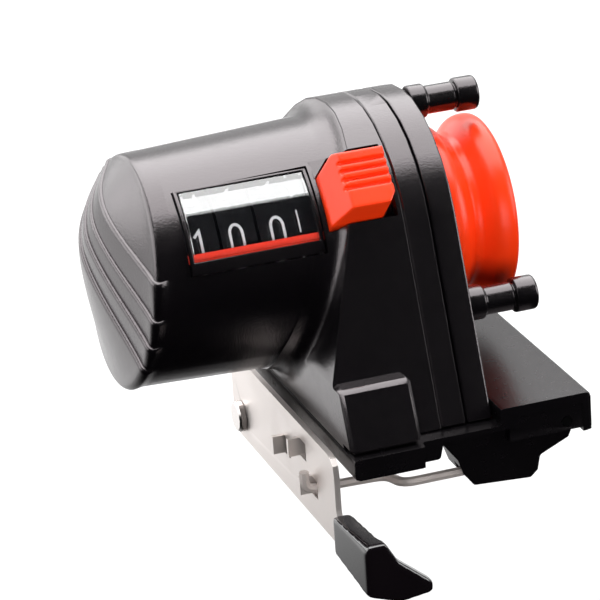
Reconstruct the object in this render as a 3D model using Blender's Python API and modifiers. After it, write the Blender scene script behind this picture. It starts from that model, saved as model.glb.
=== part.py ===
# Clamp-on fishing line counter with a measuring wheel, a gear train and three digit drums.
# Frame: origin at the crest of the rod saddle, under the wheel's axle.
# +X along the wheel's axle towards the wheel, +Y along the rod away from the reader, +Z up.
from math import asin, atan2, cos, hypot, pi, radians, sin, tan

import bmesh
import bpy
from mathutils import Matrix, Vector

MM = 0.001

# Shared fits
GAP = 0.3 * MM
SEAM = 0.2 * MM
RUN = 0.15 * MM
OVERRUN = 4.0 * MM
MERGE = 0.003 * MM

FLAT = radians(0.2)
EDGE_ANGLE = radians(40.0)
SMOOTH_ANGLE = radians(35.0)
NUT_SMOOTH_ANGLE = radians(20.0)
SHOULDER_ANGLE = radians(50.0)
EDGE_SEGMENTS = 2
CORNER_POINTS = 2
LOBE_STEPS = 8

# The measuring wheel's radius, which the case and the pegs follow
WHEEL_R = 19.3 * MM

# Axle line and layout along it
AXLE_Z = 30.0 * MM
CASE_RIGHT_X = 11.8 * MM
COVER_SEAM_X = 6.4 * MM
FRAME_SEAM_X = 1.0 * MM
CASE_WALL = 2.2 * MM

# Gear case outline, a round top with flared sides
CASE_FLARE = radians(20.5)
CASE_ARC_STEPS = 12
CASE_HOLLOW_STEPS = 8
CASE_FOOT_Z = 1.3 * MM
CASE_EDGE = 0.7 * MM
CASE_SEAM_EDGE = 0.35 * MM

# Counter barrel
BARREL_END_X = -49.3 * MM
BARREL_END_R = 23.1 * MM
BARREL_ROOT_X = -6.0 * MM
BARREL_SPREAD = 1.7 * MM
BARREL_ROOT_R = BARREL_END_R + BARREL_SPREAD
BARREL_WALL = 2.3 * MM
BARREL_STEPS = 30
END_SLANT = tan(radians(8.25))
BARREL_FLOOR_X = -2.4 * MM
CASE_STEP = 3.0 * MM
WHEEL_TO_CASE = 8.5 * MM
CASE_R = max(BARREL_ROOT_R + CASE_STEP, WHEEL_R + WHEEL_TO_CASE)

# Sloping shoulder between the barrel and the case foot
SHOULDER_X = -4.6 * MM
SHOULDER_TOP_Z = 58.0 * MM
FOOT_LEFT_X = -19.3 * MM
FOOT_TOP_Z = 13.0 * MM
SHOULDER_EDGE = 2.2 * MM
FAIRING_REACH = 5.0 * MM
FAIRING_RISE = 3.8 * MM
FAIRING_TRIM = 0.3 * MM
FAIRING_ARC_STEPS = 4

# Foot block in front of the case
BLOCK_RIGHT_X = -4.6 * MM
BLOCK_TOP_FRONT_Y = -40.0 * MM
BLOCK_FRONT_Y = -45.0 * MM
BLOCK_BACK_Y = -30.0 * MM
BLOCK_EDGE = 0.8 * MM

# End cap with five lapped bands
CAP_DEPTH = 6.8 * MM
CAP_SHELL = 2.2 * MM
CAP_ROUND = 1.64
CAP_POWER = 1.14
CAP_APEX_Y = 5.0 * MM
CAP_APEX_Z = 5.4 * MM
CAP_RINGS = 4
CAP_HOLLOW_RINGS = 3
CAP_HOLLOW_STEPS = 14
CAP_LAP_TILT = radians(5.2)
CAP_LAST_TILT = radians(1.7)
CAP_LAP_TUCK = 1.2 * MM
CAP_HINGE_SHARE = 0.7
CAP_RIDGES = (
    (-22.7 * MM, 5.2 * MM, radians(21.5)),
    (-22.9 * MM, -2.5 * MM, radians(27.0)),
    (-21.4 * MM, -8.4 * MM, radians(31.5)),
    (-18.3 * MM, -13.9 * MM, radians(34.5)),
)
CAP_BOSS_R = 3.4 * MM
CAP_BOSS_X = -45.5 * MM
CAP_BOSS_SHARE = 0.62
CAP_SPIGOT_LENGTH = 1.8 * MM
CAP_SPIGOT_WALL = 1.3 * MM

# Window in the barrel
WINDOW_LEFT_X = -42.0 * MM
WINDOW_RIGHT_X = -14.4 * MM
WINDOW_LOW = radians(12.5)
WINDOW_HIGH = radians(56.0)
WINDOW_ARC_STEPS = 10
WINDOW_CUT_DEPTH = 2.7 * MM
WINDOW_CUT_IN_R = BARREL_END_R - WINDOW_CUT_DEPTH
BEZEL_PROUD = 1.0 * MM
BEZEL_THICKNESS = 1.1 * MM
BEZEL_OUT_R = BARREL_END_R + BEZEL_PROUD
BEZEL_IN_R = BEZEL_OUT_R - BEZEL_THICKNESS
BEZEL_SIDE = 0.9 * MM
BEZEL_TOP = radians(1.8)
BEZEL_BOTTOM = radians(6.5)
LENS_THICKNESS = 0.8 * MM
BEZEL_PLAY = radians(0.6)

# Digit drums
DRUM_PLAY = 1.0 * MM
DRUM_R = BARREL_END_R - BARREL_WALL - DRUM_PLAY
DRUM_RIM = 2.3 * MM
DRUM_GAP = 0.6 * MM
DRUM_LEFT_X = -41.7 * MM
DRUM_WIDTH = 7.2 * MM
UNITS_WIDTH = 11.4 * MM
DRUM_STEPS = 22
DRUM_WEB = 1.1 * MM
DRUM_SHALLOW = 1.6 * MM
HUB_NECK_R = 3.5 * MM
RING_TEETH = 20
RING_INSET = 4.8 * MM
RING_R = DRUM_R - RING_INSET
RING_MODULE = 2 * RING_R / RING_TEETH
RING_DEPTH = 2.2 * MM
CARRY_LUG_REACH = 1.7 * MM
CARRY_LUG_HEIGHT = 2.3 * MM
CARRY_LUG_INSET = 1.1 * MM
CARRY_LUG_IN_R = RING_R - CARRY_LUG_INSET
CARRY_LUG_OUT_R = CARRY_LUG_IN_R + CARRY_LUG_HEIGHT
DRUM_SHALLOW_INSET = 1.6 * MM
DRUM_SHALLOW_R = RING_R - DRUM_SHALLOW_INSET
CARRY_LUG_HALF = radians(5.0)
CARRY_TURNS = (radians(20.0), radians(56.0))
CARRY_RATIO_TEETH = 6
CARRIER_THICKNESS = 0.9 * MM
CARRIER_HUB_R = 4.6 * MM
CARRIER_TIP_R = 2.3 * MM
CARRIER_PIN_R = 1.0 * MM
CARRIER_ANGLE = radians(-90.0)
PINION_ADDENDUM = 1.1 * MM
PINION_DEDENDUM = 1.4 * MM

# Shafts
SHAFT_R = 1.5 * MM
SHAFT_STEPS = 12
DRUM_SHAFT_LEFT_X = -47.6 * MM
SHAFT_JOINT_X = 5.2 * MM
WEB_BOSS_R = 4.0 * MM
SPINDLE_RIGHT_X = 24.6 * MM
BUSH_R = 3.2 * MM
BUSH_FLANGE_R = 4.4 * MM
BUSH_FLANGE = 0.9 * MM
BUSH_PLAY = 0.1 * MM

# Reduction gears between the wheel and the units drum
ARBOR_SPACING = 15.0 * MM
ADDENDUM_SHARE = 0.82
DEDENDUM_SHARE = 1.15
TOOTH_ROOT_SHARE = 0.27
TOOTH_TIP_SHARE = 0.11
POINTED_OVER = 30
INPUT_TEETH = 10
FIRST_WHEEL_TEETH = 40
FIRST_PINION_TEETH = 8
SECOND_WHEEL_TEETH = 40
SECOND_PINION_TEETH = 8
OUTPUT_TEETH = 40
ARBOR_R = 1.0 * MM
STAGE_ONE_X = 6.9 * MM
STAGE_TWO_X = 1.7 * MM
STAGE_THREE_X = -1.7 * MM
STAGE_FACE = 1.6 * MM
PINION_FACE = 1.9 * MM
FRAME_WEB_X = 4.3 * MM
FRAME_WEB = 1.3 * MM
BRIDGE_X = -4.6 * MM
BRIDGE_THICKNESS = 1.4 * MM
BRIDGE_R = BARREL_ROOT_R - BARREL_WALL - GAP

# Measuring wheel
WHEEL_LEFT_X = 13.0 * MM
WHEEL_RIGHT_X = 28.0 * MM
WHEEL_LEFT_DROP = 0.4 * MM
WHEEL_LEFT_R = WHEEL_R - WHEEL_LEFT_DROP
WHEEL_GROOVE_DEPTH = 3.4 * MM
WHEEL_GROOVE_R = WHEEL_R - WHEEL_GROOVE_DEPTH
WHEEL_LEFT_RIM_X = 16.7 * MM
WHEEL_RIGHT_RIM_X = 24.0 * MM
WHEEL_GROOVE_X = 20.4 * MM
WHEEL_GROOVE_FLAT = 0.5 * MM
WHEEL_ROUND = 1.5 * MM
CORNER_STEPS = 2
WHEEL_RIM_WALL = 4.8 * MM
WHEEL_DISH_R = WHEEL_R - WHEEL_RIM_WALL
WHEEL_DISH_DEPTH = 5.0 * MM
WHEEL_HUB_R = 5.0 * MM
WHEEL_HUB_RECESS = 1.6 * MM
WHEEL_BACK_WALL = 7.3 * MM
WHEEL_BACK_DISH_R = WHEEL_R - WHEEL_BACK_WALL
WHEEL_BACK_DEPTH = 1.2 * MM
WHEEL_BACK_HUB = 0.6 * MM
WHEEL_STEPS = 28
WHEEL_NUT_R = 3.3 * MM
WHEEL_NUT_HEIGHT = 1.9 * MM
HEX_SIDES = 6

# Line guide pegs
PEG_R = 2.9 * MM
PEG_HEAD_R = 3.5 * MM
PEG_COLLAR_LENGTH = 3.7 * MM
PEG_SHAFT_END_X = 21.9 * MM
PEG_HEAD_END_X = 26.4 * MM
PEG_HEAD_GROOVE = 0.5 * MM
PEG_GROOVE_DEPTH = 0.5 * MM
PEG_SPIGOT_R = 1.9 * MM
PEG_SPIGOT_LENGTH = 1.7 * MM
PEG_ROUND = 0.5 * MM
PEG_STEPS = 12
UPPER_PEG_RISE = 5.7 * MM
LOWER_PEG_REACH = 8.9 * MM
UPPER_PEG = (-1.2 * MM, AXLE_Z + WHEEL_R + UPPER_PEG_RISE)
LOWER_PEG = (-WHEEL_R - LOWER_PEG_REACH, 21.1 * MM)

# Case screws, set in from the wheel side
CASE_SCREW_R = 1.1 * MM
CASE_SCREW_HEAD_R = 2.1 * MM
CASE_SCREW_HEAD = 1.4 * MM
CASE_SCREW_SLOT = 0.6 * MM
SLOT_SHARE = 0.7
CASE_SCREW_SLOT_DEPTH = 0.7 * MM
CASE_SCREW_STEPS = 12
CASE_SCREW_LEFT_X = -1.2 * MM
CASE_BOSS_R = 2.7 * MM
BOSS_STEPS = 8
CASE_SCREW_INSET = 4.2 * MM
CASE_SCREW_TOP_R = CASE_R - CASE_SCREW_INSET
CASE_SCREW_TOP_TURN = radians(66.0)
CASE_SCREW_LOW_Y = 32.2 * MM
CASE_SCREW_LOW_Z = 6.6 * MM

# Reset button
BUTTON_TURN = radians(39.5)
BUTTON_LEFT_X = -13.4 * MM
BUTTON_RIGHT_X = -0.3 * MM
BUTTON_TOP_LEFT_X = -9.6 * MM
BUTTON_HALF = 7.3 * MM
BUTTON_SIDE_PROUD = 0.9 * MM
BUTTON_TOP_PROUD = 5.8 * MM
BUTTON_SKIRT_DEPTH = 2.1 * MM
BUTTON_STEM_DEPTH = 5.3 * MM
BUTTON_SIDE_R = BARREL_ROOT_R + BUTTON_SIDE_PROUD
BUTTON_TOP_R = BARREL_ROOT_R + BUTTON_TOP_PROUD
BUTTON_SKIRT_R = BARREL_ROOT_R - BUTTON_SKIRT_DEPTH
BUTTON_STEM_R = BARREL_ROOT_R - BUTTON_STEM_DEPTH
BUTTON_STEM_LEFT_X = -12.6 * MM
BUTTON_STEM_RIGHT_X = -5.3 * MM
BUTTON_HOOK = 0.8 * MM
BUTTON_HOOK_HEIGHT = 0.8 * MM
BUTTON_RIB_COUNT = 5
BUTTON_RIB_PITCH = 1.75 * MM
BUTTON_GROOVE = 0.7 * MM
BUTTON_GROOVE_DEPTH = 0.9 * MM
BUTTON_RIB_START = -1.6 * MM
BUTTON_EDGE = 0.7 * MM
BUTTON_CROWN = 1.6 * MM
BUTTON_TRAVEL = 2.0 * MM
BUTTON_POCKET_DEPTH = 4.8 * MM
BUTTON_POCKET_R = BARREL_ROOT_R - BUTTON_POCKET_DEPTH
SPRING_COIL_R = 2.2 * MM
SPRING_WIRE_R = 0.3 * MM
SPRING_TURNS = 4
SPRING_POINTS = 8
SPRING_X = -9.0 * MM
SPRING_REACH = 6.3 * MM
SPRING_SEAT_R = BUTTON_STEM_R - SPRING_REACH
SPRING_SHELF = 1.2 * MM
SPRING_SHELF_HALF = 3.4 * MM
SPRING_SHELF_LEFT_X = -12.2 * MM

# Rod base
BASE_LIP_FRONT_Y = -46.5 * MM
BASE_LEFT_BACK_Y = 42.0 * MM
BASE_FRONT_Y = -44.0 * MM
BASE_BACK_Y = 40.0 * MM
BASE_TOP_Z = 1.0 * MM
BASE_BOTTOM_Z = -3.4 * MM
SADDLE_SPAN = 1.0 * MM
SADDLE_RIGHT_X = 2.0 * MM
DECK_LEFT_X = 12.1 * MM
DECK_RIGHT_X = 31.4 * MM
DECK_TOP_Z = 4.5 * MM
DECK_THICKNESS = 2.2 * MM
DECK_WALL = 2.0 * MM
DECK_SKIRT_Z = -3.6 * MM
DECK_INNER_X = 14.0 * MM
DECK_END_Z = -2.8 * MM
BASE_EDGE = 0.9 * MM
DECK_EDGE = 1.3 * MM
PLAN_EDGE = 1.6 * MM
BASE_SCREW_X = -11.5 * MM
BASE_SCREW_Y = 27.0 * MM
BASE_SCREW_R = 1.4 * MM
BASE_SCREW_HEAD_R = 2.8 * MM
BASE_SCREW_HEAD = 1.6 * MM
BASE_SCREW_TOP_Z = 9.0 * MM

# Lever ear under the base
PIVOT_Y = 15.0 * MM
PIVOT_Z = -12.5 * MM
EAR_R = 4.6 * MM
EAR_FLARE = 3.0 * MM
EAR_RIGHT_X = -13.0 * MM
EAR_LEFT_X = -19.0 * MM
PIVOT_R = 2.0 * MM
PIVOT_HEAD_R = 3.3 * MM
PIVOT_HEAD = 1.5 * MM
PIVOT_ROUND = 0.4 * MM
PIVOT_RIGHT_X = -12.0 * MM

# Clamp lever, a flat steel plate with punched hooks
LEVER_OUT_X = -22.6 * MM
LEVER_THICKNESS = 1.2 * MM
LEVER_BACK_Y = 21.0 * MM
LEVER_FRONT_Y = -43.0 * MM
LEVER_TOP_Z = 0.5 * MM
LEVER_BOTTOM_Z = -17.6 * MM
LEVER_STEP_Z = -10.6 * MM
LEVER_CORNER = 3.5 * MM
LEVER_CORNER_POINTS = 3
TANG_FRONT_Y = -57.0 * MM
TANG_TOP_Z = -12.4 * MM
TANG_BOTTOM_Z = -16.6 * MM
HOOK_HOLE_WIDTH = 3.6 * MM
HOOK_HOLE_HEIGHT = 3.8 * MM
HOOK_TAB = 1.0 * MM
HOOK_TAB_REACH = 2.4 * MM
HOOK_PLACES = (
    (-14.5 * MM, -8.0 * MM),
    (-24.5 * MM, -4.6 * MM),
    (-30.5 * MM, -10.4 * MM),
)

# Grip on the lever
GRIP_BACK_Y = -44.0 * MM
GRIP_FRONT_Y = -63.5 * MM
GRIP_BACK_TOP_Z = -11.0 * MM
GRIP_BACK_BOTTOM_Z = -18.2 * MM
GRIP_FRONT_TOP_Z = -8.8 * MM
GRIP_FRONT_BOTTOM_Z = -19.6 * MM
GRIP_LEFT_X = -24.0 * MM
GRIP_RIGHT_X = -20.0 * MM
PADDLE_RIGHT_X = -10.6 * MM
PADDLE_BACK_Y = -60.3 * MM
PADDLE_WAIST_X = -17.4 * MM
PADDLE_WAIST_Z = -13.4 * MM
PADDLE_TIP_TOP_Z = -19.4 * MM
PADDLE_TIP_BOTTOM_Z = -22.0 * MM
GRIP_EDGE = 0.9 * MM

# Draw wire between the lever and the jaw
WIRE_R = 1.0 * MM
WIRE_BEND_R = 2.6 * MM
WIRE_BEND_STEPS = 4
WIRE_HOOK_X = -24.6 * MM
WIRE_HOOK_Y = -30.5 * MM
WIRE_HOOK_TOP_Z = -6.6 * MM
WIRE_HOOK_Z = -10.4 * MM
WIRE_CORNER_X = -8.0 * MM
WIRE_CORNER_Y = -31.5 * MM
WIRE_CORNER_Z = -10.4 * MM
WIRE_FRONT_X = -7.2 * MM
WIRE_FRONT_Y = -39.5 * MM
WIRE_FRONT_Z = -9.0 * MM
WIRE_END_X = 7.4 * MM

# Hinged jaw under the deck, two feet on a bar
JAW_PIN_X = 26.0 * MM
JAW_PIN_Z = -0.9 * MM
JAW_PIN_R = 1.0 * MM
JAW_KNUCKLE_R = 2.4 * MM
JAW_FRONT_Y = -41.7 * MM
JAW_BACK_Y = 37.7 * MM
JAW_FOOT_LENGTH = 8.5 * MM
JAW_BAR_X = 15.0 * MM
JAW_TOP_Z = -0.4 * MM
JAW_TIP_X = 0.3 * MM
JAW_TIP_Z = -1.2 * MM
JAW_CHEEK_X = 3.6 * MM
JAW_CHEEK_Z = -5.6 * MM
JAW_SIDE_X = 4.7 * MM
JAW_SIDE_Z = -8.8 * MM
JAW_FOOT_LEFT_X = 6.8 * MM
JAW_FOOT_LEFT_Z = -11.6 * MM
JAW_FOOT_RIGHT_X = 18.8 * MM
JAW_FOOT_RIGHT_Z = -12.4 * MM
JAW_HEEL_X = 20.4 * MM
JAW_HEEL_LOW_Z = -11.0 * MM
JAW_HEEL_TOP_X = 21.0 * MM
JAW_HEEL_TOP_Z = -8.0 * MM
JAW_TAIL_X = 27.2 * MM
JAW_TAIL_Z = -5.3 * MM
JAW_END_X = 27.9 * MM
JAW_END_Z = -3.6 * MM
JAW_EDGE = 0.8 * MM
JAW_NOTCH_PLAY = 0.5 * MM
JAW_NOTCH_END_X = 8.6 * MM

# Colours and finishes
FINISHES = {
    "black": ((0.012, 0.012, 0.014), 0.38, 0.0),
    "grip": ((0.010, 0.010, 0.012), 0.25, 0.0),
    "orange": ((0.80, 0.055, 0.012), 0.25, 0.0),
    "steel": ((0.72, 0.69, 0.66), 0.3, 1.0),
    "brass": ((0.72, 0.52, 0.20), 0.35, 1.0),
    "clear": ((0.85, 0.88, 0.90), 0.05, 0.0),
    "drum": ((0.015, 0.015, 0.016), 0.45, 0.0),
    "nylon": ((0.80, 0.79, 0.74), 0.5, 0.0),
}

AXIS_ROTATION = {
    "X": Matrix(((0, 0, 1), (1, 0, 0), (0, 1, 0))),
    "Y": Matrix(((1, 0, 0), (0, 0, -1), (0, 1, 0))),
    "Z": Matrix.Identity(3),
}


def clear_scene():
    for obj in list(bpy.data.objects):
        bpy.data.objects.remove(obj, do_unlink=True)


def new_collection(name):
    collection = bpy.data.collections.new(name)
    bpy.context.scene.collection.children.link(collection)
    return collection


clear_scene()
PARTS = new_collection("fishing_line_counter")
CUTTERS = new_collection("cutters")


def material(finish_name):
    found = bpy.data.materials.get(finish_name)
    if found:
        return found
    colour, roughness, metallic = FINISHES[finish_name]
    made = bpy.data.materials.new(finish_name)
    made.use_nodes = True
    shader = made.node_tree.nodes["Principled BSDF"]
    shader.inputs["Base Color"].default_value = (*colour, 1.0)
    shader.inputs["Roughness"].default_value = roughness
    shader.inputs["Metallic"].default_value = metallic
    return made


def own_material(obj, finish_name):
    made = material(finish_name).copy()
    made.name = obj.name + "_finish"
    obj.data.materials.clear()
    obj.data.materials.append(made)


def add_object(name, data):
    obj = bpy.data.objects.new(name, data)
    CUTTERS.objects.link(obj)
    return obj


def settle(obj):
    # Turns the object with its modifiers into a plain mesh in world space.
    bpy.context.view_layer.update()
    graph = bpy.context.evaluated_depsgraph_get()
    mesh = bpy.data.meshes.new_from_object(obj.evaluated_get(graph))
    mesh.transform(obj.matrix_world)
    name = obj.name
    bpy.data.objects.remove(obj, do_unlink=True)
    made = add_object(name, mesh)
    made.hide_render = True
    made.display_type = "WIRE"
    return made


def weld(obj):
    edit = bmesh.new()
    edit.from_mesh(obj.data)
    bmesh.ops.remove_doubles(edit, verts=edit.verts, dist=MERGE)
    bmesh.ops.dissolve_degenerate(edit, edges=edit.edges, dist=MERGE / 2)
    edit.to_mesh(obj.data)
    edit.free()
    return obj


def outline(name, loops, axis, low, high):
    # A flat outline extruded along X (points y, z), along Y (points x, z) or along Z (points x, y).
    curve = bpy.data.curves.new(name, "CURVE")
    curve.dimensions = "2D"
    curve.fill_mode = "BOTH"
    curve.extrude = (high - low) / 2
    for loop in loops:
        spline = curve.splines.new("POLY")
        spline.points.add(len(loop) - 1)
        for point, (u, v) in zip(spline.points, loop):
            point.co = (u, v, 0, 1)
        spline.use_cyclic_u = True
    obj = add_object(name, curve)
    middle = (low + high) / 2
    place = {"X": (middle, 0, 0), "Y": (0, middle, 0), "Z": (0, 0, middle)}[axis]
    obj.matrix_world = Matrix.Translation(Vector(place)) @ AXIS_ROTATION[axis].to_4x4()
    return weld(settle(obj))


def turned(name, profile, steps, centre):
    # A closed profile of (x, radius) points turned about the X line through centre (y, z).
    # The profile runs from low x to high x along its outer side.
    mesh = bpy.data.meshes.new(name)
    points = [(radius, 0, x) for x, radius in profile]
    count = len(points)
    on_axis = profile[0][1] == 0 and profile[-1][1] == 0
    edges = [(i, i + 1) for i in range(count - 1)]
    if not on_axis:
        edges.append((count - 1, 0))
    mesh.from_pydata(points, edges, [])
    obj = add_object(name, mesh)
    screw = obj.modifiers.new("turn", "SCREW")
    screw.axis = "Z"
    screw.angle = 2 * pi
    screw.steps = steps
    screw.render_steps = steps
    screw.use_merge_vertices = True
    screw.merge_threshold = MERGE
    rotation = Matrix(((0, 0, 1), (0, 1, 0), (-1, 0, 0))).to_4x4()
    obj.matrix_world = Matrix.Translation((0, centre[0], centre[1])) @ rotation
    return face_out(weld(settle(obj)))


def face_out(obj):
    edit = bmesh.new()
    edit.from_mesh(obj.data)
    bmesh.ops.dissolve_limit(edit, angle_limit=FLAT, verts=edit.verts, edges=edit.edges)
    bmesh.ops.recalc_face_normals(edit, faces=edit.faces)
    edit.to_mesh(obj.data)
    edit.free()
    return obj


def rod(name, low, high, radius, centre, steps=SHAFT_STEPS):
    return turned(name, [(low, 0), (low, radius), (high, radius), (high, 0)], steps, centre)


def take_new(name):
    # The primitive just added, moved to the cutters.
    obj = bpy.context.active_object
    obj.name = name
    for collection in list(obj.users_collection):
        collection.objects.unlink(obj)
    CUTTERS.objects.link(obj)
    obj.hide_render = True
    obj.display_type = "WIRE"
    return obj


def box(name, low, high):
    bpy.ops.mesh.primitive_cube_add(size=1)
    obj = take_new(name)
    size = [b - a for a, b in zip(low, high)]
    centre = [(a + b) / 2 for a, b in zip(low, high)]
    obj.data.transform(Matrix.Translation(centre) @ Matrix.Diagonal((*size, 1)))
    return obj


def boolean(target, tools, operation):
    for tool in tools:
        step = target.modifiers.new(operation.lower(), "BOOLEAN")
        step.operation = operation
        step.solver = "EXACT"
        step.object = tool
    made = weld(settle(target))
    for tool in tools:
        bpy.data.objects.remove(tool, do_unlink=True)
    return made


def cut(target, *tools):
    return boolean(target, tools, "DIFFERENCE")


def join(target, *tools):
    return boolean(target, tools, "UNION")


def common(target, *tools):
    return boolean(target, tools, "INTERSECT")


def bevel(obj, width, segments=1, angle=EDGE_ANGLE):
    step = obj.modifiers.new("edges", "BEVEL")
    step.width = width
    step.segments = segments
    step.limit_method = "ANGLE"
    step.angle_limit = angle
    return settle(obj)


def turn_about_axle(obj, angle):
    # A positive angle lifts the front, so a radial line at +Z leans towards -Y.
    place = Matrix.Translation((0, 0, AXLE_Z))
    obj.data.transform(place @ Matrix.Rotation(angle, 4, "X") @ place.inverted())
    return obj


def finish(obj, finish_name, origin=(0, 0, 0), smooth=SMOOTH_ANGLE):
    # Moves a finished solid to the parts collection with its origin on its axis or seat.
    obj.data.transform(Matrix.Translation(Vector(origin)).inverted())
    obj.location = origin
    CUTTERS.objects.unlink(obj)
    PARTS.objects.link(obj)
    obj.hide_render = False
    obj.display_type = "TEXTURED"
    own_material(obj, finish_name)
    obj.data.shade_smooth()
    obj.data.set_sharp_from_angle(angle=smooth)
    return obj


def arc(radius, start, end, steps, centre):
    turns = [start + (end - start) * i / steps for i in range(steps + 1)]
    return [(centre[0] + radius * cos(t), centre[1] + radius * sin(t)) for t in turns]


def circle(radius, steps, centre):
    # A closed loop of the given number of corners, the first one not repeated.
    return arc(radius, 0, 2 * pi, steps, centre)[:-1]


def sector(name, inner, outer, low, high, left, right):
    # A curved panel on the front of the barrel, its angles counted up from the front.
    centre = (0, AXLE_Z)
    outside = arc(outer, pi - low, pi - high, WINDOW_ARC_STEPS, centre)
    inside = arc(inner, pi - high, pi - low, WINDOW_ARC_STEPS, centre)
    return outline(name, [outside + inside], "X", left, right)


def teardrop(inset, foot_z, steps=CASE_ARC_STEPS):
    # The gear case outline in (y, z), moved in by inset.
    radius = CASE_R - inset
    top = arc(radius, pi - CASE_FLARE, CASE_FLARE, steps, (0, AXLE_Z))
    drop = radius * sin(CASE_FLARE) + AXLE_Z - foot_z
    foot_y = radius * cos(CASE_FLARE) + drop * tan(CASE_FLARE)
    return top + [(foot_y, foot_z), (-foot_y, foot_z)]


def barrel_radius(x, inset):
    share = (x - BARREL_END_X) / (BARREL_ROOT_X - BARREL_END_X)
    return BARREL_END_R + share * (BARREL_ROOT_R - BARREL_END_R) - inset


def shoulder_x(z):
    # The sloping left wall of the case, upright below the foot's top.
    run = (FOOT_LEFT_X - SHOULDER_X) / (SHOULDER_TOP_Z - FOOT_TOP_Z)
    return SHOULDER_X + run * (SHOULDER_TOP_Z - max(z, FOOT_TOP_Z))


def slant_end(obj, limit_x):
    # Leans the open end of a turned solid to the barrel's slanted end plane.
    for vertex in obj.data.vertices:
        if vertex.co.x < limit_x:
            vertex.co.x += END_SLANT * (vertex.co.z - AXLE_Z)
    return obj


def gear_outline(teeth, module, addendum, dedendum, phase, centre):
    # Straight-sided spur teeth, thinned for running backlash. The fine ones run to a point.
    pitch_turn = 2 * pi / teeth
    pitch_r = teeth * module / 2
    tips = (0,) if teeth > POINTED_OVER else (-TOOTH_TIP_SHARE, TOOTH_TIP_SHARE)
    tooth = [(pitch_r - dedendum, -TOOTH_ROOT_SHARE)]
    tooth += [(pitch_r + addendum, side) for side in tips]
    tooth.append((pitch_r - dedendum, TOOTH_ROOT_SHARE))
    points = []
    for i in range(teeth):
        middle = phase + i * pitch_turn
        for radius, side in tooth:
            turn = middle + side * pitch_turn
            points.append((centre[0] + radius * cos(turn), centre[1] + radius * sin(turn)))
    return points


# The axle and the two arbors stand at the corners of an equal-sided triangle.
AXLE = (0, AXLE_Z)
ARBOR_DROP = ARBOR_SPACING * cos(pi / 6)
ARBOR_B = (-ARBOR_SPACING / 2, AXLE_Z - ARBOR_DROP)
ARBOR_C = (ARBOR_SPACING / 2, AXLE_Z - ARBOR_DROP)


def bearing_turn(start, end):
    return atan2(end[1] - start[1], end[0] - start[0])


def facing_phase(start, end, teeth):
    # The follower shows a space towards the driver's tooth.
    return bearing_turn(end, start) + pi / teeth


def case_screw_places():
    top_y = CASE_SCREW_TOP_R * cos(CASE_SCREW_TOP_TURN)
    top_z = AXLE_Z + CASE_SCREW_TOP_R * sin(CASE_SCREW_TOP_TURN)
    return (
        (-top_y, top_z),
        (top_y, top_z),
        (CASE_SCREW_LOW_Y, CASE_SCREW_LOW_Z),
        (-CASE_SCREW_LOW_Y, CASE_SCREW_LOW_Z),
    )


def button_frame_box(name, low, high):
    # A box given as (x, tangent, radius) at the reset button's place on the barrel.
    solid = box(name, (low[0], low[1], AXLE_Z + low[2]), (high[0], high[1], AXLE_Z + high[2]))
    return turn_about_axle(solid, pi / 2 - BUTTON_TURN)


def button_pocket():
    return button_frame_box(
        "button_pocket",
        (BUTTON_LEFT_X - RUN, -BUTTON_HALF - GAP, BUTTON_POCKET_R),
        (BUTTON_RIGHT_X + GAP, BUTTON_HALF + GAP, BUTTON_TOP_R + OVERRUN),
    )


def fairing():
    # A hollow-curved collar that leads the barrel into the sloping wall.
    profile = [(FAIRING_REACH, 0), (-FAIRING_REACH, 0)]
    for i in range(FAIRING_ARC_STEPS + 1):
        turn = pi / 2 * i / FAIRING_ARC_STEPS
        x = -FAIRING_REACH * (1 - sin(turn))
        rise = FAIRING_RISE * (1 - cos(turn))
        profile.append((x, BARREL_ROOT_R - GAP + rise))
    profile.append((FAIRING_REACH, BARREL_ROOT_R + FAIRING_RISE))
    solid = turned("fairing", profile[1:] + profile[:1], BARREL_STEPS, AXLE)
    for vertex in solid.data.vertices:
        vertex.co.x += shoulder_x(vertex.co.z)
    edge = outline(
        "edge",
        [teardrop(FAIRING_TRIM, CASE_FOOT_Z + FAIRING_TRIM)],
        "X",
        FOOT_LEFT_X - 3 * OVERRUN,
        FRAME_SEAM_X - SEAM,
    )
    return common(solid, edge)


def case_front_view(right):
    # The case as seen from the front, in (x, z).
    return [
        (right, CASE_FOOT_Z),
        (right, SHOULDER_TOP_Z + OVERRUN),
        (shoulder_x(SHOULDER_TOP_Z), SHOULDER_TOP_Z + OVERRUN),
        (shoulder_x(SHOULDER_TOP_Z), SHOULDER_TOP_Z),
        (FOOT_LEFT_X, FOOT_TOP_Z),
        (FOOT_LEFT_X, CASE_FOOT_Z),
    ]


def case_cavity(name, low, high):
    # The case's hollow as a cutter, notched round the four screw bosses.
    inner = teardrop(CASE_WALL, CASE_FOOT_Z + CASE_WALL, CASE_HOLLOW_STEPS)
    hollow = outline(name, [inner], "X", low, high)
    bosses = [
        rod("boss", low - OVERRUN, high + OVERRUN, CASE_BOSS_R, place, BOSS_STEPS)
        for place in case_screw_places()
    ]
    return cut(hollow, *bosses)


def case_screw_holes(low, high):
    return [
        rod("hole", low, high, CASE_SCREW_R + RUN, place, BOSS_STEPS)
        for place in case_screw_places()
    ]


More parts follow.
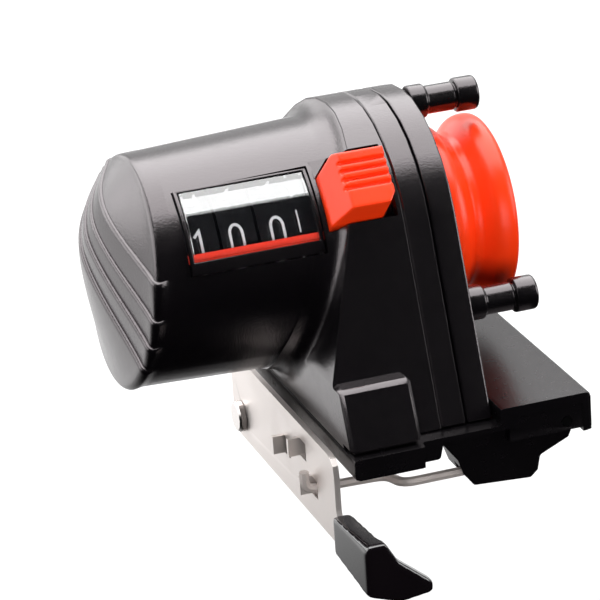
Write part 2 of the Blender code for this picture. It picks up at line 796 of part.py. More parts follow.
def make_counter_housing():
    right = FRAME_SEAM_X - SEAM / 2
    barrel = turned(
        "barrel",
        [
            (BARREL_END_X, 0),
            (BARREL_END_X, BARREL_END_R),
            (BARREL_ROOT_X, BARREL_ROOT_R),
            (BARREL_ROOT_X, 0),
        ],
        BARREL_STEPS,
        AXLE,
    )
    slant_end(barrel, (BARREL_END_X + BARREL_ROOT_X) / 2)
    far_left = FOOT_LEFT_X - OVERRUN
    foot = outline("foot", [teardrop(0, CASE_FOOT_Z)], "X", far_left, right)
    reach = BASE_LEFT_BACK_Y + OVERRUN
    front = outline("front", [case_front_view(right)], "Y", -reach, reach)
    shoulder = bevel(common(foot, front), SHOULDER_EDGE, EDGE_SEGMENTS, SHOULDER_ANGLE)
    block = outline(
        "block",
        [
            [
                (BLOCK_BACK_Y, FOOT_TOP_Z),
                (BLOCK_TOP_FRONT_Y, FOOT_TOP_Z),
                (BLOCK_FRONT_Y, CASE_FOOT_Z),
                (BLOCK_BACK_Y, CASE_FOOT_Z),
            ]
        ],
        "X",
        FOOT_LEFT_X,
        BLOCK_RIGHT_X,
    )
    block = bevel(block, BLOCK_EDGE)
    body = join(shoulder, barrel, fairing(), block)
    flat = box(
        "right_trim",
        (right, -reach, CASE_FOOT_Z - OVERRUN),
        (right + reach, reach, SHOULDER_TOP_Z + reach),
    )
    under = box(
        "foot_trim",
        (FOOT_LEFT_X - reach, -reach, CASE_FOOT_Z - reach),
        (right + reach, reach, CASE_FOOT_Z),
    )
    body = cut(body, flat, under)
    cavity = turned(
        "cavity",
        [
            (BARREL_END_X - OVERRUN - OVERRUN, 0),
            (BARREL_END_X - OVERRUN - OVERRUN, BARREL_END_R - BARREL_WALL),
            (BARREL_END_X + OVERRUN, barrel_radius(BARREL_END_X + OVERRUN, BARREL_WALL)),
            (BARREL_FLOOR_X + RUN, barrel_radius(BARREL_FLOOR_X, BARREL_WALL)),
            (BARREL_FLOOR_X + RUN, 0),
        ],
        BARREL_STEPS,
        AXLE,
    )
    recess = case_cavity("recess", BARREL_FLOOR_X, right + OVERRUN)
    window = sector(
        "window",
        WINDOW_CUT_IN_R,
        BARREL_ROOT_R + OVERRUN,
        WINDOW_LOW,
        WINDOW_HIGH,
        WINDOW_LEFT_X,
        WINDOW_RIGHT_X,
    )
    body = cut(body, cavity, recess, window, button_pocket())
    holes = case_screw_holes(CASE_SCREW_LEFT_X - GAP, right + OVERRUN)
    wells = [base_screw_well(y) for y in (-BASE_SCREW_Y, BASE_SCREW_Y)]
    body = cut(body, *holes, *wells)
    body.name = "counter_housing"
    return finish(body, "black")


def upright(name, low, high, radius, x, y):
    bpy.ops.mesh.primitive_cylinder_add(
        vertices=SHAFT_STEPS, radius=radius, depth=high - low
    )
    obj = take_new(name)
    obj.data.transform(Matrix.Translation((x, y, (low + high) / 2)))
    return obj


def base_screw_well(y):
    low = CASE_FOOT_Z - OVERRUN
    high = BASE_SCREW_TOP_Z + GAP
    return upright("well", low, high, BASE_SCREW_R + RUN, BASE_SCREW_X, y)


def dome_share(radius, outer):
    # How far a ring of the cap's bulge is from the rim, from 1 at the apex to 0.
    return 1 - (min(radius, outer) / outer) ** CAP_ROUND


def dome(name, inset, mouth_x, rings=CAP_RINGS, steps=BARREL_STEPS):
    # The cap's bulge as a solid, from its off-centre apex to the flat mouth at mouth_x.
    profile = [(BARREL_END_X - CAP_DEPTH + inset, 0)]
    outer = BARREL_END_R - inset
    for i in range(1, rings + 1):
        turn = pi / 2 * i / rings
        radius = outer * sin(turn)
        depth = CAP_DEPTH * dome_share(radius, outer) ** CAP_POWER
        profile.append((BARREL_END_X - depth + inset * cos(turn), radius))
    profile.append((mouth_x, outer))
    profile.append((mouth_x, 0))
    solid = turned(name, profile, steps, AXLE)
    for vertex in solid.data.vertices:
        share = dome_share(hypot(vertex.co.y, vertex.co.z - AXLE_Z), outer)
        vertex.co.y += CAP_APEX_Y * share
        vertex.co.z += CAP_APEX_Z * share
        vertex.co.x += END_SLANT * (vertex.co.z - AXLE_Z)
    edit = bmesh.new()
    edit.from_mesh(solid.data)
    quads = [face for face in edit.faces if len(face.verts) == 4]
    bmesh.ops.triangulate(edit, faces=quads)
    edit.to_mesh(solid.data)
    edit.free()
    return solid


def ridge_point(ridge, along, up=0):
    # A point on a ridge line, moved up square to it.
    y, rise, turn = ridge
    return (
        y + along * cos(turn) - up * sin(turn),
        AXLE_Z + rise + along * sin(turn) + up * cos(turn),
    )


def lap_band(index):
    # One band of the cap: the bulge tipped out about its lower ridge, between two ridges.
    solid = dome("lap", 0, BARREL_END_X + OVERRUN)
    reach = 3 * BARREL_END_R
    upper = CAP_RIDGES[index - 1] if index > 0 else None
    lower = CAP_RIDGES[index] if index < len(CAP_RIDGES) else None
    top = [(-reach, AXLE_Z + reach), (reach, AXLE_Z + reach)]
    if upper:
        top = [ridge_point(upper, -reach), ridge_point(upper, reach)]
        hinge = lower or upper
        turn = hinge[2]
        pivot = Vector((BARREL_END_X - CAP_HINGE_SHARE * CAP_DEPTH, *ridge_point(hinge, BARREL_END_R)))
        tilt = CAP_LAP_TILT
        if lower is None:
            pivot -= Vector((0, -sin(turn), cos(turn))) * BARREL_END_R
            tilt = CAP_LAST_TILT
        lean = Matrix.Rotation(-tilt, 4, Vector((0, cos(turn), sin(turn))))
        solid.data.transform(Matrix.Translation(pivot) @ lean @ Matrix.Translation(-pivot))
    bottom = [(reach, AXLE_Z - reach), (-reach, AXLE_Z - reach)]
    if lower:
        tuck = -CAP_LAP_TUCK
        bottom = [ridge_point(lower, reach, tuck), ridge_point(lower, -reach, tuck)]
    band = outline("band", [top + bottom], "X", BARREL_END_X - reach, BARREL_END_X + reach)
    return common(solid, band)


def make_end_cap():
    bands = [lap_band(i) for i in range(len(CAP_RIDGES) + 1)]
    body = join(bands[0], *bands[1:])
    mouth = box(
        "mouth",
        (BARREL_END_X - SEAM, -2 * BARREL_END_R, AXLE_Z - 2 * BARREL_END_R),
        (BARREL_END_X + 2 * BARREL_END_R, 2 * BARREL_END_R, AXLE_Z + 2 * BARREL_END_R),
    )
    for vertex in mouth.data.vertices:
        vertex.co.x += END_SLANT * (vertex.co.z - AXLE_Z)
    round_trim = turned(
        "round_trim",
        [
            (BARREL_END_X - 2 * BARREL_END_R, 0),
            (BARREL_END_X - 2 * BARREL_END_R, BARREL_END_R),
            (BARREL_END_X + 2 * BARREL_END_R, BARREL_END_R),
            (BARREL_END_X + 2 * BARREL_END_R, 0),
        ],
        BARREL_STEPS,
        AXLE,
    )
    body = common(body, round_trim)
    hollow = dome(
        "hollow", CAP_SHELL, BARREL_END_X + OVERRUN, CAP_HOLLOW_RINGS, CAP_HOLLOW_STEPS
    )
    body = cut(body, mouth, hollow)
    spigot_out = BARREL_END_R - BARREL_WALL - RUN
    spigot = turned(
        "spigot",
        [
            (BARREL_END_X - CAP_SHELL, spigot_out - CAP_SPIGOT_WALL),
            (BARREL_END_X - CAP_SHELL, spigot_out),
            (BARREL_END_X + CAP_SPIGOT_LENGTH, spigot_out),
            (BARREL_END_X + CAP_SPIGOT_LENGTH, spigot_out - CAP_SPIGOT_WALL),
        ],
        BARREL_STEPS,
        AXLE,
    )
    for vertex in spigot.data.vertices:
        vertex.co.x += END_SLANT * (vertex.co.z - AXLE_Z)
    boss_x = BARREL_END_X - CAP_BOSS_SHARE * CAP_DEPTH
    boss = rod("boss", boss_x, CAP_BOSS_X, CAP_BOSS_R, AXLE)
    body = join(body, spigot, boss)
    bore = rod("bore", DRUM_SHAFT_LEFT_X - GAP, CAP_BOSS_X + OVERRUN, SHAFT_R + RUN, AXLE)
    body = cut(body, bore)
    body.name = "end_cap"
    return finish(body, "black")


def make_window():
    bezel = sector(
        "window_bezel",
        BEZEL_IN_R,
        BEZEL_OUT_R,
        WINDOW_LOW + BEZEL_PLAY,
        WINDOW_HIGH - BEZEL_PLAY,
        WINDOW_LEFT_X + SEAM,
        WINDOW_RIGHT_X - SEAM,
    )
    opening = sector(
        "opening",
        BEZEL_IN_R - OVERRUN,
        BEZEL_OUT_R + OVERRUN,
        WINDOW_LOW + BEZEL_BOTTOM,
        WINDOW_HIGH - BEZEL_TOP,
        WINDOW_LEFT_X + BEZEL_SIDE,
        WINDOW_RIGHT_X - BEZEL_SIDE,
    )
    bezel = cut(bezel, opening)
    bezel.name = "window_bezel"
    finish(bezel, "black")
    lens = sector(
        "window_lens",
        BEZEL_IN_R - RUN - LENS_THICKNESS,
        BEZEL_IN_R - RUN,
        WINDOW_LOW + BEZEL_PLAY,
        WINDOW_HIGH - BEZEL_PLAY,
        WINDOW_LEFT_X + SEAM,
        WINDOW_RIGHT_X - SEAM,
    )
    finish(lens, "clear")


def make_case_frame():
    # The middle ring of the case with the gear web across it.
    left = FRAME_SEAM_X + SEAM / 2
    right = COVER_SEAM_X - SEAM / 2
    ring = outline("case_frame", [teardrop(0, CASE_FOOT_Z)], "X", left, right)
    ring = bevel(ring, CASE_SEAM_EDGE)
    near = case_cavity("near", left - OVERRUN, FRAME_WEB_X)
    far = case_cavity("far", FRAME_WEB_X + FRAME_WEB, right + OVERRUN)
    ring = cut(ring, near, far)
    hub = rod("hub", FRAME_WEB_X + GAP, right - SEAM, WEB_BOSS_R, AXLE)
    ring = join(ring, hub)
    holes = case_screw_holes(left - OVERRUN, right + OVERRUN)
    bore = rod("bore", left - OVERRUN, right + OVERRUN, SHAFT_R + RUN, AXLE)
    pass_b = rod("pass_b", left - OVERRUN, right + OVERRUN, ARBOR_R + GAP, ARBOR_B)
    seat_c = rod("seat_c", left - OVERRUN, right + OVERRUN, ARBOR_R + RUN, ARBOR_C)
    ring = cut(ring, *holes, bore, pass_b, seat_c)
    ring.name = "case_frame"
    return finish(ring, "black")


def make_case_cover():
    left = COVER_SEAM_X + SEAM / 2
    cover = outline("case_cover", [teardrop(0, CASE_FOOT_Z)], "X", left, CASE_RIGHT_X)
    cover = bevel(cover, CASE_EDGE, EDGE_SEGMENTS)
    cover = cut(cover, case_cavity("hollow", left - OVERRUN, CASE_RIGHT_X - CASE_WALL))
    seat_b = rod(
        "seat_b",
        STAGE_ONE_X + STAGE_FACE + GAP,
        CASE_RIGHT_X - CASE_WALL / 2,
        2 * ARBOR_R + RUN,
        ARBOR_B,
    )
    cover = join(cover, seat_b)
    tools = case_screw_holes(left - OVERRUN, CASE_RIGHT_X + OVERRUN)
    for place in case_screw_places():
        tools.append(
            rod(
                "sink",
                CASE_RIGHT_X - CASE_SCREW_HEAD - RUN,
                CASE_RIGHT_X + OVERRUN,
                CASE_SCREW_HEAD_R + RUN,
                place,
            )
        )
    tools.append(rod("bush_seat", left - OVERRUN, CASE_RIGHT_X + OVERRUN, BUSH_R + RUN, AXLE))
    tools.append(
        rod("seat_bore", left - OVERRUN, CASE_RIGHT_X - CASE_WALL / 2, ARBOR_R + RUN, ARBOR_B)
    )
    for place in (UPPER_PEG, LOWER_PEG):
        tools.append(
            rod(
                "peg_seat",
                CASE_RIGHT_X - PEG_SPIGOT_LENGTH - RUN,
                CASE_RIGHT_X + OVERRUN,
                PEG_SPIGOT_R + RUN,
                place,
            )
        )
    cover = cut(cover, *tools)
    cover.name = "case_cover"
    return finish(cover, "black")


def make_case_screws():
    for index, place in enumerate(case_screw_places(), start=1):
        head_x = CASE_RIGHT_X - CASE_SCREW_HEAD
        screw = turned(
            "screw",
            [
                (CASE_SCREW_LEFT_X, 0),
                (CASE_SCREW_LEFT_X, CASE_SCREW_R),
                (head_x, CASE_SCREW_R),
                (head_x, CASE_SCREW_HEAD_R),
                (CASE_RIGHT_X - RUN, CASE_SCREW_HEAD_R),
                (CASE_RIGHT_X - RUN, 0),
            ],
            CASE_SCREW_STEPS,
            place,
        )
        slots = cross_slot(place, CASE_RIGHT_X - RUN - CASE_SCREW_SLOT_DEPTH)
        screw = cut(screw, *slots)
        screw.name = f"case_screw_{index}"
        finish(screw, "steel", (0, *place))


def cross_slot(place, low_x):
    y, z = place
    long = CASE_SCREW_HEAD_R * SLOT_SHARE
    short = CASE_SCREW_SLOT / 2
    high_x = low_x + OVERRUN
    flat = box("slot", (low_x, y - long, z - short), (high_x, y + long, z + short))
    tall = box("slot", (low_x, y - short, z - long), (high_x, y + short, z + long))
    return flat, tall


def make_drums():
    # Three drums on the fixed shaft, each with an internal ring gear facing the next lower drum.
    names = ("hundreds_drum", "tens_drum")
    left = DRUM_LEFT_X
    for index, name in enumerate(names):
        right = left + DRUM_WIDTH
        drum = carried_drum(left, right)
        if index > 0:
            drum = join(drum, *carry_lugs(left))
        drum.name = name
        finish(drum, "drum", (0, 0, AXLE_Z))
        left = right + DRUM_GAP
    units = join(units_drum(left, left + UNITS_WIDTH), *carry_lugs(left))
    units.name = "units_drum"
    finish(units, "drum", (0, 0, AXLE_Z))


def carried_drum(left, right):
    web_left = left + DRUM_SHALLOW
    web_right = web_left + DRUM_WEB
    inner = DRUM_R - DRUM_RIM
    body = turned(
        "drum",
        [
            (web_left, SHAFT_R + RUN),
            (web_left, DRUM_SHALLOW_R),
            (left, DRUM_SHALLOW_R),
            (left, DRUM_R),
            (right, DRUM_R),
            (right, inner),
            (web_right, inner),
            (web_right, SHAFT_R + RUN),
        ],
        DRUM_STEPS,
        AXLE,
    )
    pitch_turn = 2 * pi / RING_TEETH
    ring = gear_outline(
        RING_TEETH,
        RING_MODULE,
        PINION_DEDENDUM,
        PINION_ADDENDUM,
        CARRIER_ANGLE,
        AXLE,
    )
    rim = arc(DRUM_R - DRUM_RIM / 2, 0, 2 * pi - pitch_turn, RING_TEETH - 1, AXLE)
    teeth = outline("teeth", [rim, ring], "X", web_right - RUN, web_right + RING_DEPTH)
    return join(body, teeth)


def units_drum(left, right):
    web_left = left + DRUM_SHALLOW
    web_right = web_left + DRUM_WEB
    inner = DRUM_R - DRUM_RIM
    return turned(
        "units",
        [
            (web_left, SHAFT_R + RUN),
            (web_left, DRUM_SHALLOW_R),
            (left, DRUM_SHALLOW_R),
            (left, DRUM_R),
            (right, DRUM_R),
            (right, inner),
            (web_right, inner),
            (web_right, HUB_NECK_R),
            (STAGE_THREE_X + STAGE_FACE, HUB_NECK_R),
            (STAGE_THREE_X + STAGE_FACE, SHAFT_R + RUN),
        ],
        DRUM_STEPS,
        AXLE,
    )


def carry_lugs(left):
    # The two teeth that nudge the next pinion once a turn.
    lugs = []
    for turn in CARRY_TURNS:
        outside = arc(CARRY_LUG_OUT_R, turn - CARRY_LUG_HALF, turn + CARRY_LUG_HALF, CORNER_POINTS, AXLE)
        inside = arc(CARRY_LUG_IN_R, turn + CARRY_LUG_HALF, turn - CARRY_LUG_HALF, CORNER_POINTS, AXLE)
        lugs.append(
            outline("lug", [outside + inside], "X", left - CARRY_LUG_REACH - DRUM_GAP, left + RUN)
        )
    return lugs


def link_outline(near, near_r, far, far_r):
    # Two round ends joined by their common tangents.
    heading = bearing_turn(near, far)
    lean = asin((near_r - far_r) / hypot(far[0] - near[0], far[1] - near[1]))
    side = pi / 2 - lean
    back = arc(near_r, heading + side, heading + 2 * pi - side, LOBE_STEPS, near)
    front = arc(far_r, heading - side, heading + side, LOBE_STEPS, far)
    return back + front


def make_carriers():
    # Fixed plates between the drums, each with a pin for its carry pinion.
    reach = (RING_TEETH - CARRY_RATIO_TEETH) * RING_MODULE / 2
    pin_y = reach * cos(CARRIER_ANGLE)
    pin_z = AXLE_Z + reach * sin(CARRIER_ANGLE)
    for index, name in ((1, "hundreds"), (2, "tens")):
        face = DRUM_LEFT_X + index * (DRUM_WIDTH + DRUM_GAP)
        low = face - DRUM_GAP / 2
        arm = link_outline(AXLE, CARRIER_HUB_R, (pin_y, pin_z), CARRIER_TIP_R)
        bore = circle(SHAFT_R + RUN, SHAFT_STEPS, AXLE)
        plate = outline("arm", [arm, bore], "X", low, low + CARRIER_THICKNESS)
        ring_x = face - DRUM_GAP - DRUM_WIDTH + DRUM_SHALLOW + DRUM_WEB
        pin = rod("pin", ring_x + GAP, low + RUN, CARRIER_PIN_R, (pin_y, pin_z), BOSS_STEPS)
        plate = join(plate, pin)
        plate.name = name + "_carrier"
        finish(plate, "steel")
        loop = gear_outline(
            CARRY_RATIO_TEETH,
            RING_MODULE,
            PINION_ADDENDUM,
            PINION_DEDENDUM,
            CARRIER_ANGLE,
            (pin_y, pin_z),
        )
        hole = circle(CARRIER_PIN_R + RUN, BOSS_STEPS, (pin_y, pin_z))
        pinion = outline("pinion", [loop, hole], "X", ring_x + GAP, low - GAP)
        pinion.name = name + "_carry_pinion"
        finish(pinion, "nylon", (0, pin_y, pin_z))


def make_shafts():
    drum_shaft = rod("drum_shaft", DRUM_SHAFT_LEFT_X, SHAFT_JOINT_X - GAP / 2, SHAFT_R, AXLE)
    finish(drum_shaft, "steel", (0, 0, AXLE_Z))
    spindle = rod("wheel_spindle", SHAFT_JOINT_X + GAP / 2, SPINDLE_RIGHT_X, SHAFT_R, AXLE)
    finish(spindle, "steel", (0, 0, AXLE_Z))
    bush = turned(
        "spindle_bush",
        [
            (CASE_RIGHT_X - CASE_WALL - BUSH_FLANGE, SHAFT_R + BUSH_PLAY),
            (CASE_RIGHT_X - CASE_WALL - BUSH_FLANGE, BUSH_FLANGE_R),
            (CASE_RIGHT_X - CASE_WALL - RUN, BUSH_FLANGE_R),
            (CASE_RIGHT_X - CASE_WALL - RUN, BUSH_R),
            (CASE_RIGHT_X + GAP, BUSH_R),
            (CASE_RIGHT_X + GAP, SHAFT_R + BUSH_PLAY),
        ],
        SHAFT_STEPS,
        AXLE,
    )
    finish(bush, "brass", (0, 0, AXLE_Z))


def toothed(name, teeth, mate, phase, centre, low, high, bore=0):
    # A spur gear that meshes with a mate of the given tooth count across one arbor spacing.
    module = 2 * ARBOR_SPACING / (teeth + mate)
    addendum = module * ADDENDUM_SHARE
    dedendum = module * DEDENDUM_SHARE
    loops = [gear_outline(teeth, module, addendum, dedendum, phase, centre)]
    if bore:
        loops.append(circle(bore, SHAFT_STEPS, centre))
    return outline(name, loops, "X", low, high)


def make_gears():
    turn_ab = bearing_turn(AXLE, ARBOR_B)
    turn_bc = bearing_turn(ARBOR_B, ARBOR_C)
    turn_ca = bearing_turn(ARBOR_C, AXLE)
    one_end = STAGE_ONE_X + STAGE_FACE
    input_gear = toothed(
        "input_pinion",
        INPUT_TEETH,
        FIRST_WHEEL_TEETH,
        turn_ab,
        AXLE,
        STAGE_ONE_X,
        one_end,
        SHAFT_R + BUSH_PLAY,
    )
    finish(input_gear, "brass", (0, 0, AXLE_Z))
    phase_b = facing_phase(AXLE, ARBOR_B, FIRST_WHEEL_TEETH)
    big_b = toothed(
        "big_b", FIRST_WHEEL_TEETH, INPUT_TEETH, phase_b, ARBOR_B, STAGE_ONE_X, one_end
    )
    small_b = toothed(
        "small_b",
        FIRST_PINION_TEETH,
        SECOND_WHEEL_TEETH,
        turn_bc,
        ARBOR_B,
        STAGE_TWO_X,
        STAGE_TWO_X + PINION_FACE,
    )
    arbor_end = CASE_RIGHT_X - CASE_WALL / 2 - GAP
    arbor_b = rod("arbor_b", BRIDGE_X + RUN, arbor_end, ARBOR_R, ARBOR_B)
    first = join(arbor_b, big_b, small_b)
    first.name = "first_reduction_gear"
    finish(first, "nylon", (0, *ARBOR_B))
    phase_c = facing_phase(ARBOR_B, ARBOR_C, SECOND_WHEEL_TEETH)
    big_c = toothed(
        "big_c",
        SECOND_WHEEL_TEETH,
        FIRST_PINION_TEETH,
        phase_c,
        ARBOR_C,
        STAGE_TWO_X,
        STAGE_TWO_X + STAGE_FACE,
    )
    small_c = toothed(
        "small_c",
        SECOND_PINION_TEETH,
        OUTPUT_TEETH,
        turn_ca,
        ARBOR_C,
        STAGE_THREE_X - RUN,
        STAGE_THREE_X + PINION_FACE,
    )
    arbor_c = rod("arbor_c", BRIDGE_X + RUN, FRAME_WEB_X + FRAME_WEB, ARBOR_R, ARBOR_C)
    second = join(arbor_c, big_c, small_c)
    second.name = "second_reduction_gear"
    finish(second, "nylon", (0, *ARBOR_C))
    output = toothed(
        "drum_drive_gear",
        OUTPUT_TEETH,
        SECOND_PINION_TEETH,
        facing_phase(ARBOR_C, AXLE, OUTPUT_TEETH),
        AXLE,
        STAGE_THREE_X,
        STAGE_THREE_X + STAGE_FACE,
        HUB_NECK_R + RUN,
    )
    finish(output, "nylon", (0, 0, AXLE_Z))


def make_bearing_bridge():
    # The plate across the barrel's mouth that carries the arbors and the spring shelf.
    right = BRIDGE_X + BRIDGE_THICKNESS
    plate = rod("bearing_bridge", BRIDGE_X, right, BRIDGE_R, AXLE, DRUM_STEPS)
    shelf = button_frame_box(
        "shelf",
        (SPRING_SHELF_LEFT_X, -SPRING_SHELF_HALF, SPRING_SEAT_R - SPRING_SHELF),
        (BRIDGE_X + RUN, SPRING_SHELF_HALF, SPRING_SEAT_R),
    )
    plate = join(plate, shelf)
    hub = rod("hub", BRIDGE_X - OVERRUN, right + OVERRUN, HUB_NECK_R + GAP, AXLE)
    hole_b = rod("hole_b", BRIDGE_X - OVERRUN, right + OVERRUN, ARBOR_R + RUN, ARBOR_B)
    hole_c = rod("hole_c", BRIDGE_X - OVERRUN, right + OVERRUN, ARBOR_R + RUN, ARBOR_C)
    notch = button_frame_box(
        "notch",
        (BRIDGE_X - OVERRUN, -BUTTON_HALF - GAP, BUTTON_SKIRT_R - BUTTON_TRAVEL - GAP - GAP),
        (right + OVERRUN, BUTTON_HALF + GAP, BRIDGE_R + OVERRUN),
    )
    plate = cut(plate, hub, hole_b, hole_c, notch)
    plate.name = "bearing_bridge"
    return finish(plate, "steel")


def make_measuring_wheel():
    rim_right = WHEEL_RIGHT_X - WHEEL_ROUND
    profile = [(WHEEL_LEFT_X, WHEEL_BACK_DISH_R)]
    profile += [(WHEEL_LEFT_X, WHEEL_LEFT_R - WHEEL_ROUND)]
    profile += round_corner(WHEEL_LEFT_X, WHEEL_LEFT_R, -1)
    profile.append((WHEEL_LEFT_RIM_X, WHEEL_LEFT_R))
    profile.append((WHEEL_GROOVE_X - WHEEL_GROOVE_FLAT, WHEEL_GROOVE_R))
    profile.append((WHEEL_GROOVE_X + WHEEL_GROOVE_FLAT, WHEEL_GROOVE_R))
    profile.append((WHEEL_RIGHT_RIM_X, WHEEL_R))
    profile.append((rim_right, WHEEL_R))
    profile += round_corner(WHEEL_RIGHT_X, WHEEL_R, 1)
    dish_x = WHEEL_RIGHT_X - WHEEL_DISH_DEPTH
    profile.append((WHEEL_RIGHT_X, WHEEL_DISH_R + WHEEL_ROUND))
    profile.append((dish_x, WHEEL_DISH_R))
    profile.append((dish_x, WHEEL_HUB_R + WHEEL_ROUND))
    hub_x = WHEEL_RIGHT_X - WHEEL_HUB_RECESS
    profile.append((hub_x - WHEEL_NUT_HEIGHT, WHEEL_HUB_R))
    profile.append((hub_x - WHEEL_NUT_HEIGHT, SHAFT_R + BUSH_PLAY))
    back_x = WHEEL_LEFT_X + WHEEL_BACK_DEPTH
    profile.append((WHEEL_LEFT_X - WHEEL_BACK_HUB, SHAFT_R + BUSH_PLAY))
    profile.append((WHEEL_LEFT_X - WHEEL_BACK_HUB, WHEEL_HUB_R))
    profile.append((back_x, WHEEL_HUB_R))
    profile.append((back_x, WHEEL_BACK_DISH_R))
    wheel = turned("measuring_wheel", profile, WHEEL_STEPS, AXLE)
    finish(wheel, "orange", (0, 0, AXLE_Z))
    hub_face = hub_x - WHEEL_NUT_HEIGHT
    nut = turned(
        "wheel_nut",
        [
            (hub_face + RUN, SHAFT_R + BUSH_PLAY),
            (hub_face + RUN, WHEEL_NUT_R),
            (hub_face + WHEEL_NUT_HEIGHT, WHEEL_NUT_R),
            (hub_face + WHEEL_NUT_HEIGHT, SHAFT_R + BUSH_PLAY),
        ],
        HEX_SIDES,
        AXLE,
    )
    finish(nut, "steel", (0, 0, AXLE_Z), NUT_SMOOTH_ANGLE)


def round_corner(face_x, radius, side):
    # Points of a rounded rim, up from the left face, or from the tread down to the right face.
    points = []
    for i in range(1, CORNER_STEPS + 1):
        turn = pi / 2 * i / CORNER_STEPS
        if side < 0:
            x = face_x + WHEEL_ROUND * (1 - cos(turn))
            r = radius - WHEEL_ROUND * (1 - sin(turn))
        else:
            x = face_x - WHEEL_ROUND * (1 - sin(turn))
            r = radius - WHEEL_ROUND * (1 - cos(turn))
        points.append((x, r))
    return points


def make_line_guides():
    collar_x = CASE_RIGHT_X + PEG_COLLAR_LENGTH
    for name, place in (("upper_line_guide", UPPER_PEG), ("lower_line_guide", LOWER_PEG)):
        peg = turned(
            name,
            [
                (CASE_RIGHT_X - PEG_SPIGOT_LENGTH, 0),
                (CASE_RIGHT_X - PEG_SPIGOT_LENGTH, PEG_SPIGOT_R),
                (CASE_RIGHT_X + RUN, PEG_SPIGOT_R),
                (CASE_RIGHT_X + RUN, PEG_HEAD_R),
                (collar_x - PEG_ROUND, PEG_HEAD_R),
                (collar_x, PEG_R),
                (PEG_SHAFT_END_X - PEG_HEAD_GROOVE, PEG_R),
                (PEG_SHAFT_END_X - PEG_HEAD_GROOVE, PEG_R - PEG_GROOVE_DEPTH),
                (PEG_SHAFT_END_X, PEG_R - PEG_GROOVE_DEPTH),
                (PEG_SHAFT_END_X, PEG_HEAD_R),
                (PEG_HEAD_END_X - PEG_ROUND, PEG_HEAD_R),
                (PEG_HEAD_END_X, PEG_HEAD_R - PEG_ROUND),
                (PEG_HEAD_END_X, 0),
            ],
            PEG_STEPS,
            place,
        )
        finish(peg, "grip", (0, *place))


def make_reset_button():
    # The cap is the space shared by its long view and its cross section.
    skirt_z = AXLE_Z + BUTTON_SKIRT_R
    top_z = AXLE_Z + BUTTON_TOP_R
    side = rounded(
        [
            (BUTTON_LEFT_X, skirt_z - OVERRUN),
            (BUTTON_LEFT_X, AXLE_Z + BUTTON_SIDE_R),
            (BUTTON_TOP_LEFT_X, top_z),
            (BUTTON_RIGHT_X, top_z),
            (BUTTON_RIGHT_X, skirt_z - OVERRUN),
        ],
        BUTTON_EDGE,
    )
    end = rounded(
        [
            (-BUTTON_HALF, skirt_z),
            (-BUTTON_HALF, AXLE_Z + BUTTON_SIDE_R),
            (-BUTTON_HALF + BUTTON_CROWN, top_z + GAP),
            (BUTTON_HALF - BUTTON_CROWN, top_z + GAP),
            (BUTTON_HALF, AXLE_Z + BUTTON_SIDE_R),
            (BUTTON_HALF, skirt_z),
        ],
        BUTTON_EDGE,
    )[3:-3]
    end = [(-BUTTON_HALF, skirt_z)] + end + [(BUTTON_HALF, skirt_z)]
    body = outline("button", [side], "Y", -BUTTON_HALF - OVERRUN, BUTTON_HALF + OVERRUN)
    section = outline("section", [end], "X", BUTTON_LEFT_X - OVERRUN, BUTTON_RIGHT_X + OVERRUN)
    body = common(body, section)
    grooves = []
    for i in range(BUTTON_RIB_COUNT - 1):
        middle = BUTTON_RIB_START + i * BUTTON_RIB_PITCH
        grooves.append(
            box(
                "groove",
                (
                    BUTTON_TOP_LEFT_X - BUTTON_TRAVEL,
                    middle - BUTTON_GROOVE / 2,
                    AXLE_Z + BUTTON_TOP_R - BUTTON_GROOVE_DEPTH,
                ),
                (
                    BUTTON_RIGHT_X + OVERRUN,
                    middle + BUTTON_GROOVE / 2,
                    AXLE_Z + BUTTON_TOP_R + OVERRUN,
                ),
            )
        )
    stem = box(
        "stem",
        (BUTTON_STEM_LEFT_X, -BUTTON_HALF + BUTTON_HOOK, AXLE_Z + BUTTON_STEM_R),
        (BUTTON_STEM_RIGHT_X, BUTTON_HALF - BUTTON_HOOK, AXLE_Z + BUTTON_SKIRT_R + GAP),
    )
    hook = box(
        "hook",
        (BUTTON_STEM_LEFT_X, -BUTTON_HALF - BUTTON_HOOK, AXLE_Z + BUTTON_STEM_R),
        (
            BUTTON_STEM_RIGHT_X,
            BUTTON_HALF + BUTTON_HOOK,
            AXLE_Z + BUTTON_STEM_R + BUTTON_HOOK_HEIGHT,
        ),
    )
    body = join(cut(body, *grooves), stem, hook)
    turn_about_axle(body, pi / 2 - BUTTON_TURN)
    body.name = "reset_button"
    middle_x = (BUTTON_LEFT_X + BUTTON_RIGHT_X) / 2
    finish(body, "orange", (middle_x, *button_line(BUTTON_SKIRT_R)))


def button_line(radius):
    return (-radius * cos(BUTTON_TURN), AXLE_Z + radius * sin(BUTTON_TURN))


def make_reset_spring():
    low = SPRING_SEAT_R + GAP + SPRING_WIRE_R
    high = BUTTON_STEM_R - GAP - SPRING_WIRE_R
    count = SPRING_TURNS * SPRING_POINTS
    curve = bpy.data.curves.new("reset_spring", "CURVE")
    curve.dimensions = "3D"
    curve.bevel_depth = SPRING_WIRE_R
    curve.bevel_resolution = 1
    curve.use_fill_caps = True
    spline = curve.splines.new("POLY")
    spline.points.add(count)
    for i, point in enumerate(spline.points):
        turn = 2 * pi * i / SPRING_POINTS
        rise = low + (high - low) * i / count
        point.co = (
            SPRING_X + SPRING_COIL_R * cos(turn),
            SPRING_COIL_R * sin(turn),
            AXLE_Z + rise,
            1,
        )
    spring = weld(settle(add_object("reset_spring", curve)))
    turn_about_axle(spring, pi / 2 - BUTTON_TURN)
    finish(spring, "steel", (SPRING_X, *button_line(SPRING_SEAT_R)))


